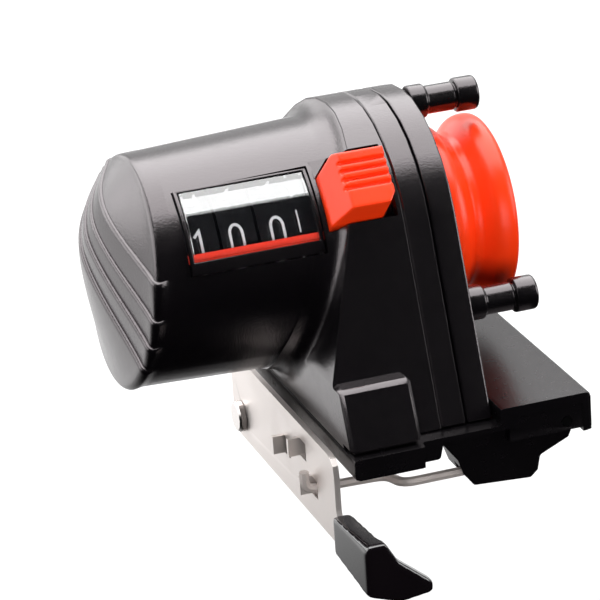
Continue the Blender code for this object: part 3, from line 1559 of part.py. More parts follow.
def base_profile():
    # The base seen from the front, in (x, z), with the rod saddle's crest at the origin.
    under = DECK_TOP_Z - DECK_THICKNESS
    left = rounded(
        [
            (SADDLE_RIGHT_X, BASE_TOP_Z),
            (FOOT_LEFT_X, BASE_TOP_Z),
            (FOOT_LEFT_X, BASE_BOTTOM_Z),
            (-SADDLE_SPAN, BASE_BOTTOM_Z),
        ],
        BASE_EDGE,
    )[3:]
    deck = rounded(
        [
            (DECK_RIGHT_X, DECK_SKIRT_Z),
            (DECK_RIGHT_X, DECK_TOP_Z),
            (DECK_LEFT_X, DECK_TOP_Z),
            (DECK_LEFT_X, under),
        ],
        DECK_EDGE,
    )[3:-3]
    return left + [
        (0, 0),
        (SADDLE_RIGHT_X, 0),
        (DECK_INNER_X, 0),
        (DECK_INNER_X, under),
        (DECK_RIGHT_X - DECK_WALL, under),
        (DECK_RIGHT_X - DECK_WALL, DECK_SKIRT_Z),
        (DECK_RIGHT_X, DECK_SKIRT_Z),
    ] + deck + [(DECK_LEFT_X, BASE_TOP_Z)]


def base_plan():
    # The base from above, in (x, y), with rounded corners at the front lip and the deck.
    return rounded(
        [
            (FOOT_LEFT_X - GAP, BASE_LIP_FRONT_Y),
            (BLOCK_RIGHT_X, BASE_LIP_FRONT_Y),
            (BLOCK_RIGHT_X, BASE_FRONT_Y),
            (DECK_RIGHT_X + GAP, BASE_FRONT_Y),
            (DECK_RIGHT_X + GAP, BASE_BACK_Y),
            (BLOCK_RIGHT_X, BASE_BACK_Y),
            (BLOCK_RIGHT_X, BASE_LEFT_BACK_Y),
            (FOOT_LEFT_X - GAP, BASE_LEFT_BACK_Y),
        ],
        PLAN_EDGE,
    )


def make_rod_base():
    reach = BASE_LEFT_BACK_Y + OVERRUN
    body = outline("base", [base_profile()], "Y", BASE_LIP_FRONT_Y - OVERRUN, reach)
    plan = outline("plan", [base_plan()], "Z", BASE_BOTTOM_Z - OVERRUN, DECK_TOP_Z + OVERRUN)
    body = common(body, plan)
    ends = []
    for low, high in (
        (BASE_FRONT_Y, JAW_FRONT_Y - GAP),
        (JAW_BACK_Y + GAP, BASE_BACK_Y),
    ):
        ends.append(
            box(
                "end",
                (DECK_INNER_X - RUN, low + RUN, DECK_END_Z),
                (DECK_RIGHT_X - RUN, high - RUN, DECK_TOP_Z - BASE_EDGE),
            )
        )
    body = join(body, *ends, pivot_ear())
    pivot_place = (PIVOT_Y, PIVOT_Z)
    tools = [
        rod("pivot", EAR_LEFT_X - OVERRUN, EAR_RIGHT_X + OVERRUN, PIVOT_R + RUN, pivot_place),
        jaw_pin_rod("jaw_pin_bore", RUN, OVERRUN),
    ]
    for y in (-BASE_SCREW_Y, BASE_SCREW_Y):
        tools.append(
            upright(
                "screw_hole",
                BASE_BOTTOM_Z - OVERRUN,
                BASE_TOP_Z + OVERRUN,
                BASE_SCREW_R + RUN,
                BASE_SCREW_X,
                y,
            )
        )
        tools.append(
            upright(
                "screw_sink",
                BASE_BOTTOM_Z - OVERRUN,
                BASE_BOTTOM_Z + BASE_SCREW_HEAD + RUN,
                BASE_SCREW_HEAD_R + RUN,
                BASE_SCREW_X,
                y,
            )
        )
    body = cut(body, *tools)
    body.name = "rod_base"
    return finish(body, "black")


def pivot_ear():
    # The lug that hangs below the base's left edge and holds the lever's pin.
    round_end = arc(EAR_R, pi, 2 * pi, LOBE_STEPS, (PIVOT_Y, PIVOT_Z))
    top = [
        (PIVOT_Y + EAR_R + EAR_FLARE, BASE_BOTTOM_Z + RUN),
        (PIVOT_Y - EAR_R - EAR_FLARE, BASE_BOTTOM_Z + RUN),
    ]
    return outline("ear", [round_end + top], "X", EAR_LEFT_X, EAR_RIGHT_X)


def jaw_pin_rod(name, play, overrun):
    low = BASE_FRONT_Y + RUN - overrun
    high = BASE_BACK_Y - RUN + overrun
    bpy.ops.mesh.primitive_cylinder_add(
        vertices=SHAFT_STEPS, radius=JAW_PIN_R + play, depth=high - low
    )
    obj = take_new(name)
    lay = Matrix.Rotation(pi / 2, 4, "X")
    place = Matrix.Translation((JAW_PIN_X, (low + high) / 2, JAW_PIN_Z))
    obj.data.transform(place @ lay)
    return obj


def make_base_screws():
    for index, y in enumerate((-BASE_SCREW_Y, BASE_SCREW_Y), start=1):
        shank = upright(
            "shank", BASE_BOTTOM_Z + RUN, BASE_SCREW_TOP_Z, BASE_SCREW_R, BASE_SCREW_X, y
        )
        head = upright(
            "head",
            BASE_BOTTOM_Z + RUN,
            BASE_BOTTOM_Z + BASE_SCREW_HEAD,
            BASE_SCREW_HEAD_R,
            BASE_SCREW_X,
            y,
        )
        screw = join(shank, head)
        screw.name = f"base_screw_{index}"
        finish(screw, "steel", (BASE_SCREW_X, y, BASE_BOTTOM_Z))


def rounded(corners, radius, steps=CORNER_POINTS):
    # Replaces each corner of an outline with a short arc of the radius, limited by its sides.
    points = []
    count = len(corners)
    for i, corner in enumerate(corners):
        here = Vector(corner)
        before = Vector(corners[i - 1]) - here
        after = Vector(corners[(i + 1) % count]) - here
        opening = before.angle(after)
        reach = min(radius / tan(opening / 2), before.length / 3, after.length / 3)
        start = here + before.normalized() * reach
        end = here + after.normalized() * reach
        for k in range(steps + 1):
            share = k / steps
            one = start.lerp(here, share)
            two = here.lerp(end, share)
            points.append(tuple(one.lerp(two, share)))
    return points


def make_clamp_lever():
    plate_outline = rounded(
        [
            (LEVER_BACK_Y, LEVER_TOP_Z),
            (LEVER_FRONT_Y, LEVER_TOP_Z),
            (LEVER_FRONT_Y, LEVER_STEP_Z),
            (GRIP_BACK_Y, TANG_TOP_Z),
            (TANG_FRONT_Y, TANG_TOP_Z),
            (TANG_FRONT_Y, TANG_BOTTOM_Z),
            (GRIP_BACK_Y, TANG_BOTTOM_Z),
            (LEVER_FRONT_Y, LEVER_BOTTOM_Z),
            (LEVER_BACK_Y, LEVER_BOTTOM_Z),
        ],
        LEVER_CORNER,
        LEVER_CORNER_POINTS,
    )
    in_x = LEVER_OUT_X + LEVER_THICKNESS
    plate = outline("lever", [plate_outline], "X", LEVER_OUT_X, in_x)
    tabs = []
    holes = [
        rod("pivot", LEVER_OUT_X - OVERRUN, in_x + OVERRUN, PIVOT_R + RUN, (PIVOT_Y, PIVOT_Z))
    ]
    for y, z in HOOK_PLACES:
        half = HOOK_HOLE_WIDTH / 2
        tall = HOOK_HOLE_HEIGHT / 2
        tabs.append(
            box(
                "tab",
                (LEVER_OUT_X - HOOK_TAB_REACH, y + half, z - tall),
                (in_x - RUN, y + half + HOOK_TAB, z + tall),
            )
        )
        holes.append(
            box(
                "hole",
                (LEVER_OUT_X - OVERRUN, y - half, z - tall),
                (in_x + OVERRUN, y + half, z + tall),
            )
        )
    plate = cut(join(plate, *tabs), *holes)
    plate.name = "clamp_lever"
    finish(plate, "steel", (LEVER_OUT_X, PIVOT_Y, PIVOT_Z))


def make_lever_pivot():
    pin = turned(
        "lever_pivot_pin",
        [
            (LEVER_OUT_X - RUN - PIVOT_HEAD, 0),
            (LEVER_OUT_X - RUN - PIVOT_HEAD, PIVOT_HEAD_R - PIVOT_ROUND),
            (LEVER_OUT_X - RUN - PIVOT_HEAD + PIVOT_ROUND, PIVOT_HEAD_R),
            (LEVER_OUT_X - RUN, PIVOT_HEAD_R),
            (LEVER_OUT_X - RUN, PIVOT_R),
            (PIVOT_RIGHT_X, PIVOT_R),
            (PIVOT_RIGHT_X, 0),
        ],
        PEG_STEPS,
        (PIVOT_Y, PIVOT_Z),
    )
    finish(pin, "steel", (0, PIVOT_Y, PIVOT_Z))


def make_lever_grip():
    # The grip is the space shared by its plan, its side view and its front view.
    plan = rounded(
        [
            (GRIP_LEFT_X, GRIP_BACK_Y),
            (GRIP_LEFT_X, GRIP_FRONT_Y),
            (PADDLE_RIGHT_X, GRIP_FRONT_Y),
            (PADDLE_RIGHT_X, PADDLE_BACK_Y),
            (GRIP_RIGHT_X, PADDLE_BACK_Y),
            (GRIP_RIGHT_X, GRIP_BACK_Y),
        ],
        GRIP_EDGE,
    )
    side = rounded(
        [
            (GRIP_BACK_Y + OVERRUN, GRIP_BACK_TOP_Z),
            (GRIP_FRONT_Y - OVERRUN, GRIP_FRONT_TOP_Z),
            (GRIP_FRONT_Y - OVERRUN, PADDLE_TIP_BOTTOM_Z),
            (PADDLE_BACK_Y + GRIP_EDGE, PADDLE_TIP_BOTTOM_Z),
            (PADDLE_BACK_Y + GRIP_EDGE, GRIP_FRONT_BOTTOM_Z),
            (GRIP_BACK_Y + OVERRUN, GRIP_BACK_BOTTOM_Z),
        ],
        GRIP_EDGE,
    )
    front = rounded(
        [
            (GRIP_LEFT_X - GAP, GRIP_FRONT_TOP_Z - OVERRUN / 2),
            (GRIP_LEFT_X + GRIP_EDGE, GRIP_FRONT_TOP_Z),
            (GRIP_RIGHT_X, GRIP_FRONT_TOP_Z),
            (PADDLE_WAIST_X, PADDLE_WAIST_Z),
            (PADDLE_RIGHT_X + GAP, PADDLE_TIP_TOP_Z),
            (PADDLE_RIGHT_X + GAP, PADDLE_TIP_BOTTOM_Z + GRIP_EDGE),
            (PADDLE_WAIST_X, PADDLE_TIP_BOTTOM_Z),
            (GRIP_LEFT_X - GAP, GRIP_FRONT_BOTTOM_Z),
        ],
        GRIP_EDGE,
    )
    reach = 3 * OVERRUN
    body = outline("grip", [plan], "Z", PADDLE_TIP_BOTTOM_Z - reach, GRIP_FRONT_TOP_Z + reach)
    views = (
        outline("side", [side], "X", GRIP_LEFT_X - reach, PADDLE_RIGHT_X + reach),
        outline("front", [front], "Y", GRIP_FRONT_Y - reach, GRIP_BACK_Y + reach),
    )
    for view in views:
        body = common(body, view)
    in_x = LEVER_OUT_X + LEVER_THICKNESS
    slot = box(
        "slot",
        (LEVER_OUT_X - RUN, TANG_FRONT_Y - GAP, TANG_BOTTOM_Z - GAP),
        (in_x + RUN, GRIP_BACK_Y + OVERRUN, TANG_TOP_Z + GAP),
    )
    body = cut(body, slot)
    body.name = "lever_grip"
    finish(body, "grip", (LEVER_OUT_X, PIVOT_Y, PIVOT_Z))


def bent(points, radius, steps):
    # A route through the points with each inner corner replaced by a smooth bend.
    route = [Vector(points[0])]
    for before, here, after in zip(points, points[1:], points[2:]):
        corner = Vector(here)
        back = Vector(before) - corner
        ahead = Vector(after) - corner
        reach = min(radius, back.length / 2, ahead.length / 2)
        start = corner + back.normalized() * reach
        end = corner + ahead.normalized() * reach
        for k in range(steps + 1):
            share = k / steps
            route.append(start.lerp(corner, share).lerp(corner.lerp(end, share), share))
    route.append(Vector(points[-1]))
    return route


def make_draw_wire():
    route = bent(
        [
            (WIRE_HOOK_X, WIRE_HOOK_Y, WIRE_HOOK_TOP_Z),
            (WIRE_HOOK_X, WIRE_HOOK_Y, WIRE_HOOK_Z),
            (WIRE_CORNER_X, WIRE_CORNER_Y, WIRE_CORNER_Z),
            (WIRE_FRONT_X, WIRE_FRONT_Y, WIRE_FRONT_Z),
            (WIRE_END_X, WIRE_FRONT_Y, WIRE_FRONT_Z),
        ],
        WIRE_BEND_R,
        WIRE_BEND_STEPS,
    )
    curve = bpy.data.curves.new("draw_wire", "CURVE")
    curve.dimensions = "3D"
    curve.bevel_depth = WIRE_R
    curve.bevel_resolution = 2
    curve.use_fill_caps = True
    spline = curve.splines.new("POLY")
    spline.points.add(len(route) - 1)
    for point, place in zip(spline.points, route):
        point.co = (*place, 1)
    wire = weld(settle(add_object("draw_wire", curve)))
    finish(wire, "steel", (LEVER_OUT_X, PIVOT_Y, PIVOT_Z))


def jaw_profile():
    # The jaw seen from the front, in (x, z), from its tip under the saddle round to the knuckle.
    return rounded(
        [
            (JAW_TIP_X, JAW_TIP_Z),
            (JAW_CHEEK_X, JAW_CHEEK_Z),
            (JAW_SIDE_X, JAW_SIDE_Z),
            (JAW_FOOT_LEFT_X, JAW_FOOT_LEFT_Z),
            (JAW_FOOT_RIGHT_X, JAW_FOOT_RIGHT_Z),
            (JAW_HEEL_X, JAW_HEEL_LOW_Z),
            (JAW_HEEL_TOP_X, JAW_HEEL_TOP_Z),
            (JAW_TAIL_X, JAW_TAIL_Z),
            (JAW_END_X, JAW_END_Z),
            (JAW_PIN_X + JAW_KNUCKLE_R, JAW_PIN_Z),
            (JAW_PIN_X + JAW_KNUCKLE_R / 2, JAW_PIN_Z + JAW_KNUCKLE_R),
            (JAW_PIN_X - JAW_KNUCKLE_R / 2, JAW_PIN_Z + JAW_KNUCKLE_R),
            (JAW_PIN_X - JAW_KNUCKLE_R, JAW_TOP_Z),
            (JAW_TIP_X + JAW_KNUCKLE_R / 2, JAW_TOP_Z),
        ],
        JAW_EDGE,
    )


def make_clamp_jaw():
    body = outline("jaw", [jaw_profile()], "Y", JAW_FRONT_Y, JAW_BACK_Y)
    gap = box(
        "gap",
        (-OVERRUN, JAW_FRONT_Y + JAW_FOOT_LENGTH, JAW_FOOT_RIGHT_Z - OVERRUN),
        (JAW_BAR_X, JAW_BACK_Y - JAW_FOOT_LENGTH, JAW_TOP_Z + OVERRUN),
    )
    play = WIRE_R + JAW_NOTCH_PLAY
    notch = box(
        "notch",
        (-OVERRUN, WIRE_FRONT_Y - play, JAW_FOOT_RIGHT_Z - OVERRUN),
        (JAW_NOTCH_END_X, WIRE_FRONT_Y + play, WIRE_FRONT_Z + play),
    )
    body = cut(body, gap, notch, jaw_pin_rod("jaw_bore", RUN, OVERRUN))
    body.name = "clamp_jaw"
    finish(body, "black", (JAW_PIN_X, 0, JAW_PIN_Z))
    pin = jaw_pin_rod("jaw_pin", 0, 0)
    finish(pin, "steel", (JAW_PIN_X, 0, JAW_PIN_Z))


def build():
    make_counter_housing()
    make_end_cap()
    make_window()
    make_case_frame()
    make_case_cover()
    make_case_screws()
    make_drums()
    make_carriers()
    make_shafts()
    make_gears()
    make_bearing_bridge()
    make_measuring_wheel()
    make_line_guides()
    make_reset_button()
    make_reset_spring()
    make_rod_base()
    make_base_screws()
    make_clamp_lever()
    make_lever_pivot()
    make_lever_grip()
    make_draw_wire()
    make_clamp_jaw()


build()
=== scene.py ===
"""The fishing line counter's looks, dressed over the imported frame."""
import math

import bmesh
import bpy
from mathutils import Matrix, Vector


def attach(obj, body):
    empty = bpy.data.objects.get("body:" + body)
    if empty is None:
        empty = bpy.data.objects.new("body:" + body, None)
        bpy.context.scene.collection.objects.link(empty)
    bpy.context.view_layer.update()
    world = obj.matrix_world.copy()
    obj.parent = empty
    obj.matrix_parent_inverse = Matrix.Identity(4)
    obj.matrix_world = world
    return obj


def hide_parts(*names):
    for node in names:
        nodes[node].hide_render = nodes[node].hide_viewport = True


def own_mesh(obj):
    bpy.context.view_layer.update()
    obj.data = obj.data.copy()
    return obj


MM = 0.001

# Where things are, in millimetres, as the solids have them
AXLE_Z = 30.0
DRUM_R = 19.8
WINDOW_LEFT = -41.6
WINDOW_RIGHT = -14.8
BARREL_TAPER = 0.0393

# The greatest distance, in metres, at which two corners of a solid are one
SAME_POINT = 2e-6

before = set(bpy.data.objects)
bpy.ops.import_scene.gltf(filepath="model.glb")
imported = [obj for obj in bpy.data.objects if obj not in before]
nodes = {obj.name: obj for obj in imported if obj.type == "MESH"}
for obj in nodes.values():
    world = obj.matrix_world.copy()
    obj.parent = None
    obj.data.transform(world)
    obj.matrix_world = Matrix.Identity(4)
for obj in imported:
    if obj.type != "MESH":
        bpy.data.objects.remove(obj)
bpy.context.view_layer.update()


# Shader nodes

def new_material(name):
    """A material with its Principled shader, ready for more nodes."""
    material = bpy.data.materials.new(name)
    material.use_nodes = True
    tree = material.node_tree
    return material, tree, tree.nodes["Principled BSDF"]


def place_coordinates(tree):
    """Metres in the frame, the same on every piece."""
    return tree.nodes.new("ShaderNodeTexCoord").outputs["Object"]


def noise(tree, vector, scale, detail=2.0, roughness=0.5):
    """Noise with so many cycles a metre."""
    node = tree.nodes.new("ShaderNodeTexNoise")
    node.inputs["Scale"].default_value = scale
    node.inputs["Detail"].default_value = detail
    node.inputs["Roughness"].default_value = roughness
    tree.links.new(vector, node.inputs["Vector"])
    return node.outputs["Fac"]


def stretched(tree, vector, scale):
    """Coordinates scaled by another factor along each axis."""
    node = tree.nodes.new("ShaderNodeMapping")
    node.inputs["Scale"].default_value = scale
    tree.links.new(vector, node.inputs["Vector"])
    return node.outputs["Vector"]


def ranged(tree, value, low, high, to_low, to_high):
    """A value taken from one range to another, and held at its ends."""
    node = tree.nodes.new("ShaderNodeMapRange")
    for name, number in (("From Min", low), ("From Max", high),
                         ("To Min", to_low), ("To Max", to_high)):
        node.inputs[name].default_value = number
    tree.links.new(value, node.inputs["Value"])
    return node.outputs["Result"]


def combined(tree, operation, first, second):
    """Two values put together by a Math node."""
    node = tree.nodes.new("ShaderNodeMath")
    node.operation = operation
    tree.links.new(first, node.inputs[0])
    tree.links.new(second, node.inputs[1])
    return node.outputs[0]


def mixed_colour(tree, factor, first, second):
    """A colour between two, by a factor."""
    node = tree.nodes.new("ShaderNodeMix")
    node.data_type = "RGBA"
    node.inputs["A"].default_value = (*first, 1.0)
    node.inputs["B"].default_value = (*second, 1.0)
    tree.links.new(factor, node.inputs["Factor"])
    return node.outputs["Result"]


def bump(tree, height, distance, strength):
    """A surface normal tilted by a height, in metres."""
    node = tree.nodes.new("ShaderNodeBump")
    node.inputs["Distance"].default_value = distance
    node.inputs["Strength"].default_value = strength
    tree.links.new(height, node.inputs["Height"])
    return node.outputs["Normal"]


# Materials

# Cycles a metre of each kind of noise
FLOW_MARKS = 90.0
SMUDGES = 160.0
MOTTLE = 420.0
COARSE_GRAIN = 1500.0
GRAIN = 2600.0
FINE_GRAIN = 5200.0
LENS_WAVES = 55.0
LENS_HAZE = 300.0

# The part of the noise's range that carries the change in roughness
NOISE_LOW = 0.3
NOISE_HIGH = 0.7

# How far the roughness falls and rises about its middle value
MOULDED_SPREAD = (0.015, 0.02)
METAL_SPREAD = (0.06, 0.08)
LENS_SPREAD = (0.02, 0.02)

LENS_ROUGH = 0.04
LENS_WAVE_DEPTH = 0.00005

NEUTRAL_SHEEN = (1.0, 1.0, 1.0)
WARM_SHEEN = (1.0, 0.92, 0.945)


def uneven(tree, shader, value, rough, spread):
    """Roughness that varies with a noise about its middle value."""
    fall, rise = spread
    tree.links.new(ranged(tree, value, NOISE_LOW, NOISE_HIGH, rough - fall, rough + rise),
                   shader.inputs["Roughness"])


def moulding(name, dark, light, rough, grain_depth, grain=FINE_GRAIN, level=0.5, ior=1.5,
             sheen=NEUTRAL_SHEEN):
    """Moulded plastic with a fine spark grain and slight flow marks."""
    material, tree, shader = new_material(name)
    where = place_coordinates(tree)
    flow = noise(tree, where, FLOW_MARKS, detail=3.0)
    tree.links.new(mixed_colour(tree, flow, dark, light), shader.inputs["Base Color"])
    spark = noise(tree, where, grain, detail=1.0)
    mottle = noise(tree, where, MOTTLE, detail=3.0, roughness=0.6)
    uneven(tree, shader, mottle, rough, MOULDED_SPREAD)
    tree.links.new(bump(tree, spark, grain_depth, strength=0.6), shader.inputs["Normal"])
    shader.inputs["Specular IOR Level"].default_value = level
    shader.inputs["IOR"].default_value = ior
    shader.inputs["Specular Tint"].default_value = (*sheen, 1.0)
    return material


def metal(name, dark, light, rough, brush, depth, metallic=1.0):
    """Plated or turned metal with marks drawn out along one direction."""
    material, tree, shader = new_material(name)
    where = place_coordinates(tree)
    lines = noise(tree, stretched(tree, where, brush), 1.0, detail=3.0, roughness=0.65)
    smudge = noise(tree, where, SMUDGES, detail=3.0, roughness=0.6)
    tree.links.new(mixed_colour(tree, smudge, dark, light), shader.inputs["Base Color"])
    shader.inputs["Metallic"].default_value = metallic
    uneven(tree, shader, smudge, rough, METAL_SPREAD)
    tree.links.new(bump(tree, lines, depth, strength=0.5), shader.inputs["Normal"])
    return material


def clear_plastic(name):
    """The window's clear moulding, with a gloss that gives it the photo's bright glare."""
    material, tree, shader = new_material(name)
    where = place_coordinates(tree)
    wave = noise(tree, where, LENS_WAVES, detail=1.0)
    shader.inputs["Base Color"].default_value = (0.96, 0.97, 0.97, 1.0)
    shader.inputs["Transmission Weight"].default_value = 1.0
    shader.inputs["IOR"].default_value = 1.55
    shader.inputs["Coat Weight"].default_value = 1.0
    shader.inputs["Coat Roughness"].default_value = 0.03
    shader.inputs["Coat IOR"].default_value = 2.1
    uneven(tree, shader, noise(tree, where, LENS_HAZE), LENS_ROUGH, LENS_SPREAD)
    tree.links.new(bump(tree, wave, LENS_WAVE_DEPTH, strength=0.25), shader.inputs["Normal"])
    return material


# Marks along the lever's sheet, along a drawn wire or a pin, and round turned brass
SHEET_MARKS = (900.0, 60.0, 2600.0)
DRAWN_MARKS = (200.0, 2200.0, 2200.0)
TURNED_MARKS = (2600.0, 200.0, 200.0)

BLACK = moulding("satin_black", dark=(0.0016, 0.0013, 0.0018), light=(0.0030, 0.0024, 0.0031),
                 rough=0.25, grain_depth=0.00005, grain=GRAIN, level=1.0, ior=1.6,
                 sheen=WARM_SHEEN)
BASE_BLACK = moulding("base_black", dark=(0.0022, 0.0020, 0.0025), light=(0.0040, 0.0034, 0.0040),
                      rough=0.26, grain_depth=0.00003, grain=GRAIN, sheen=WARM_SHEEN)
PEG_BLACK = moulding("peg_black", dark=(0.0022, 0.0020, 0.0025), light=(0.0040, 0.0034, 0.0040),
                     rough=0.22, grain_depth=0.00002, grain=GRAIN, level=0.9, ior=1.6,
                     sheen=WARM_SHEEN)
DRUM_BLACK = moulding("drum_black", dark=(0.003, 0.003, 0.004), light=(0.006, 0.006, 0.008),
                      rough=0.5, grain_depth=0.00001, level=0.15)
GRIP_BLACK = moulding("grip_black", dark=(0.0035, 0.0025, 0.0035), light=(0.006, 0.0045, 0.0055),
                      rough=0.16, grain_depth=0.000004, grain=COARSE_GRAIN, level=1.0, ior=1.6)
ORANGE = moulding("orange_moulding", dark=(0.94, 0.036, 0.003), light=(0.98, 0.050, 0.006),
                  rough=0.30, grain_depth=0.000008, grain=GRAIN)
NYLON = moulding("gear_nylon_moulding", dark=(0.72, 0.70, 0.63), light=(0.80, 0.79, 0.73),
                 rough=0.42, grain_depth=0.00001)
STEEL = metal("plated_steel_sheet", dark=(0.80, 0.74, 0.71), light=(0.88, 0.82, 0.79),
              rough=0.42, brush=SHEET_MARKS, depth=0.00002, metallic=0.8)
WIRE_STEEL = metal("drawn_wire", dark=(0.86, 0.76, 0.72), light=(0.94, 0.86, 0.82),
                   rough=0.36, brush=DRAWN_MARKS, depth=0.00001, metallic=0.6)
PIN_STEEL = metal("blackened_steel", dark=(0.05, 0.05, 0.055), light=(0.09, 0.09, 0.095),
                  rough=0.35, brush=DRAWN_MARKS, depth=0.00001)
ROUND_STEEL = metal("plated_steel_round", dark=(0.66, 0.62, 0.60), light=(0.78, 0.74, 0.72),
                    rough=0.22, brush=DRAWN_MARKS, depth=0.00001)
BRASS = metal("turned_brass_metal", dark=(0.62, 0.42, 0.15), light=(0.74, 0.54, 0.24),
              rough=0.25, brush=TURNED_MARKS, depth=0.00001)
CLEAR = clear_plastic("clear_moulding")
PRINT_WHITE = moulding("print_white", dark=(0.78, 0.79, 0.82), light=(0.86, 0.86, 0.88),
                       rough=0.5, grain_depth=0.000004)
STRIPE_RED = moulding("stripe_red", dark=(0.80, 0.030, 0.010), light=(0.88, 0.042, 0.015),
                      rough=0.35, grain_depth=0.000006)

LOOKS = {
    BLACK: ("counter_housing", "end_cap", "window_bezel", "case_frame", "case_cover"),
    BASE_BLACK: ("rod_base", "clamp_jaw"),
    PEG_BLACK: ("upper_line_guide", "lower_line_guide"),
    GRIP_BLACK: ("lever_grip",),
    ORANGE: ("measuring_wheel", "reset_button"),
    NYLON: ("first_reduction_gear", "second_reduction_gear", "drum_drive_gear",
            "hundreds_carry_pinion", "tens_carry_pinion"),
    DRUM_BLACK: ("hundreds_drum", "tens_drum", "units_drum"),
    STEEL: ("clamp_lever", "hundreds_carrier", "tens_carrier", "bearing_bridge"),
    ROUND_STEEL: ("case_screw_1", "case_screw_2", "case_screw_3", "case_screw_4", "base_screw_1",
                  "base_screw_2", "drum_shaft", "wheel_spindle", "wheel_nut", "lever_pivot_pin",
                  "reset_spring"),
    WIRE_STEEL: ("draw_wire",),
    PIN_STEEL: ("jaw_pin",),
    BRASS: ("spindle_bush", "input_pinion"),
    CLEAR: ("window_lens",),
}

# How much the edges are eased, in millimetres. The other solids keep theirs.
EASED = {
    "counter_housing": 0.35, "window_bezel": 0.18, "case_frame": 0.30, "case_cover": 0.30,
    "rod_base": 0.35, "clamp_jaw": 0.35, "clamp_lever": 0.12,
}


# Shading of the solids

FLAT_WITHIN = math.radians(0.6)
CREASE_FROM = math.radians(32.0)


def new_group(name):
    """A geometry node group with its way in and out."""
    group = bpy.data.node_groups.new(name, "GeometryNodeTree")
    for way in ("INPUT", "OUTPUT"):
        group.interface.new_socket("Geometry", in_out=way, socket_type="NodeSocketGeometry")
    start = group.nodes.new("NodeGroupInput").outputs[0]
    end = group.nodes.new("NodeGroupOutput").inputs[0]
    return group, start, end


def join_group():
    """Joins a mesh's loose triangles and makes it smooth."""
    group, start, end = new_group("join_triangles")
    bare = group.nodes.new("GeometryNodeRemoveAttribute")
    bare.inputs["Name"].default_value = "custom_normal"
    join = group.nodes.new("GeometryNodeMergeByDistance")
    join.inputs["Distance"].default_value = SAME_POINT
    smooth = group.nodes.new("GeometryNodeSetShadeSmooth")
    group.links.new(start, bare.inputs["Geometry"])
    group.links.new(bare.outputs["Geometry"], join.inputs["Geometry"])
    group.links.new(join.outputs["Geometry"], smooth.inputs["Geometry"])
    group.links.new(smooth.outputs["Geometry"], end)
    return group


def crease_group():
    """Makes the edges sharp where a mesh bends by more than the angle."""
    group, start, end = new_group("crease_by_angle")
    bend = group.nodes.new("GeometryNodeInputMeshEdgeAngle")
    sharp = group.nodes.new("FunctionNodeCompare")
    sharp.data_type = "FLOAT"
    sharp.operation = "GREATER_THAN"
    sharp.inputs["B"].default_value = CREASE_FROM
    crease = group.nodes.new("GeometryNodeSetShadeSmooth")
    crease.domain = "EDGE"
    crease.inputs["Shade Smooth"].default_value = False
    group.links.new(bend.outputs["Unsigned Angle"], sharp.inputs["A"])
    group.links.new(start, crease.inputs["Geometry"])
    group.links.new(sharp.outputs["Result"], crease.inputs["Selection"])
    group.links.new(crease.outputs["Geometry"], end)
    return group


JOIN = join_group()
CREASE = crease_group()


def dress(obj, look, eased):
    """Gives a solid its look, joins its triangles and eases its edges."""
    obj.data.materials.clear()
    obj.data.materials.append(look)
    obj.modifiers.new("join", "NODES").node_group = JOIN
    flat = obj.modifiers.new("flat", "DECIMATE")
    flat.decimate_type = "DISSOLVE"
    flat.angle_limit = FLAT_WITHIN
    if eased:
        soft = obj.modifiers.new("eased", "BEVEL")
        soft.width = eased * MM
        soft.segments = 2
        soft.limit_method = "ANGLE"
        soft.angle_limit = CREASE_FROM
        soft.use_clamp_overlap = True
        even = obj.modifiers.new("even", "WEIGHTED_NORMAL")
        even.keep_sharp = True
    obj.modifiers.new("crease", "NODES").node_group = CREASE


# Meshes

# From which angle on a piece of flat faces, a turned piece and the cap have creases
FLAT_CREASE = math.radians(30.0)
TURNED_CREASE = math.radians(50.0)
CAP_CREASE = math.radians(60.0)

# How near a cutting plane a corner counts as on it, in metres
ON_PLANE = 1e-7

# The greatest share of a side that the curve at its end takes up
MOST_OF_SIDE = 0.48


def object_from(mesh, name, material):
    """An object of a finished mesh, with its faces turned outward."""
    bmesh.ops.recalc_face_normals(mesh, faces=mesh.faces)
    data = bpy.data.meshes.new(name)
    mesh.to_mesh(data)
    mesh.free()
    return linked(data, name, material)


def linked(data, name, material):
    """An object in the scene, of mesh data, in one material."""
    data.materials.clear()
    data.materials.append(material)
    obj = bpy.data.objects.new(name, data)
    bpy.context.scene.collection.objects.link(obj)
    return obj


def shade(obj, crease):
    """Smooth shading with a crease where faces meet at more than an angle."""
    obj.data.shade_smooth()
    obj.data.set_sharp_from_angle(angle=crease)


def carried(obj, body):
    """Says which body a piece rides on."""
    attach(obj, body)


def stand_for(obj, node, body):
    """Puts a piece in a node's place."""
    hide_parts(node)
    carried(obj, body)


def round_axle(x, radius, turn):
    """A point at a radius from the axle, turned from straight up towards the front."""
    return Vector((x, -radius * math.sin(turn), AXLE_Z + radius * math.cos(turn))) * MM


def walled(mesh, rings):
    """Faces from each ring of points to the next."""
    for a, b in zip(rings, rings[1:]):
        for i in range(len(a)):
            j = (i + 1) % len(a)
            mesh.faces.new((a[i], b[i], b[j], a[j]))


def closed(mesh, rings):
    """Faces from each ring of points to the next, and over both ends."""
    walled(mesh, rings)
    mesh.faces.new(rings[0])
    mesh.faces.new(rings[-1][::-1])


def curved_strip(name, section, start, end, steps, material):
    """A closed strip round the axle: (x, radius) points swept between two angles in degrees."""
    mesh = bmesh.new()
    rings = []
    for i in range(steps + 1):
        turn = math.radians(start + (end - start) * i / steps)
        rings.append([mesh.verts.new(round_axle(x, radius, turn)) for x, radius in section])
    closed(mesh, rings)
    return object_from(mesh, name, material)


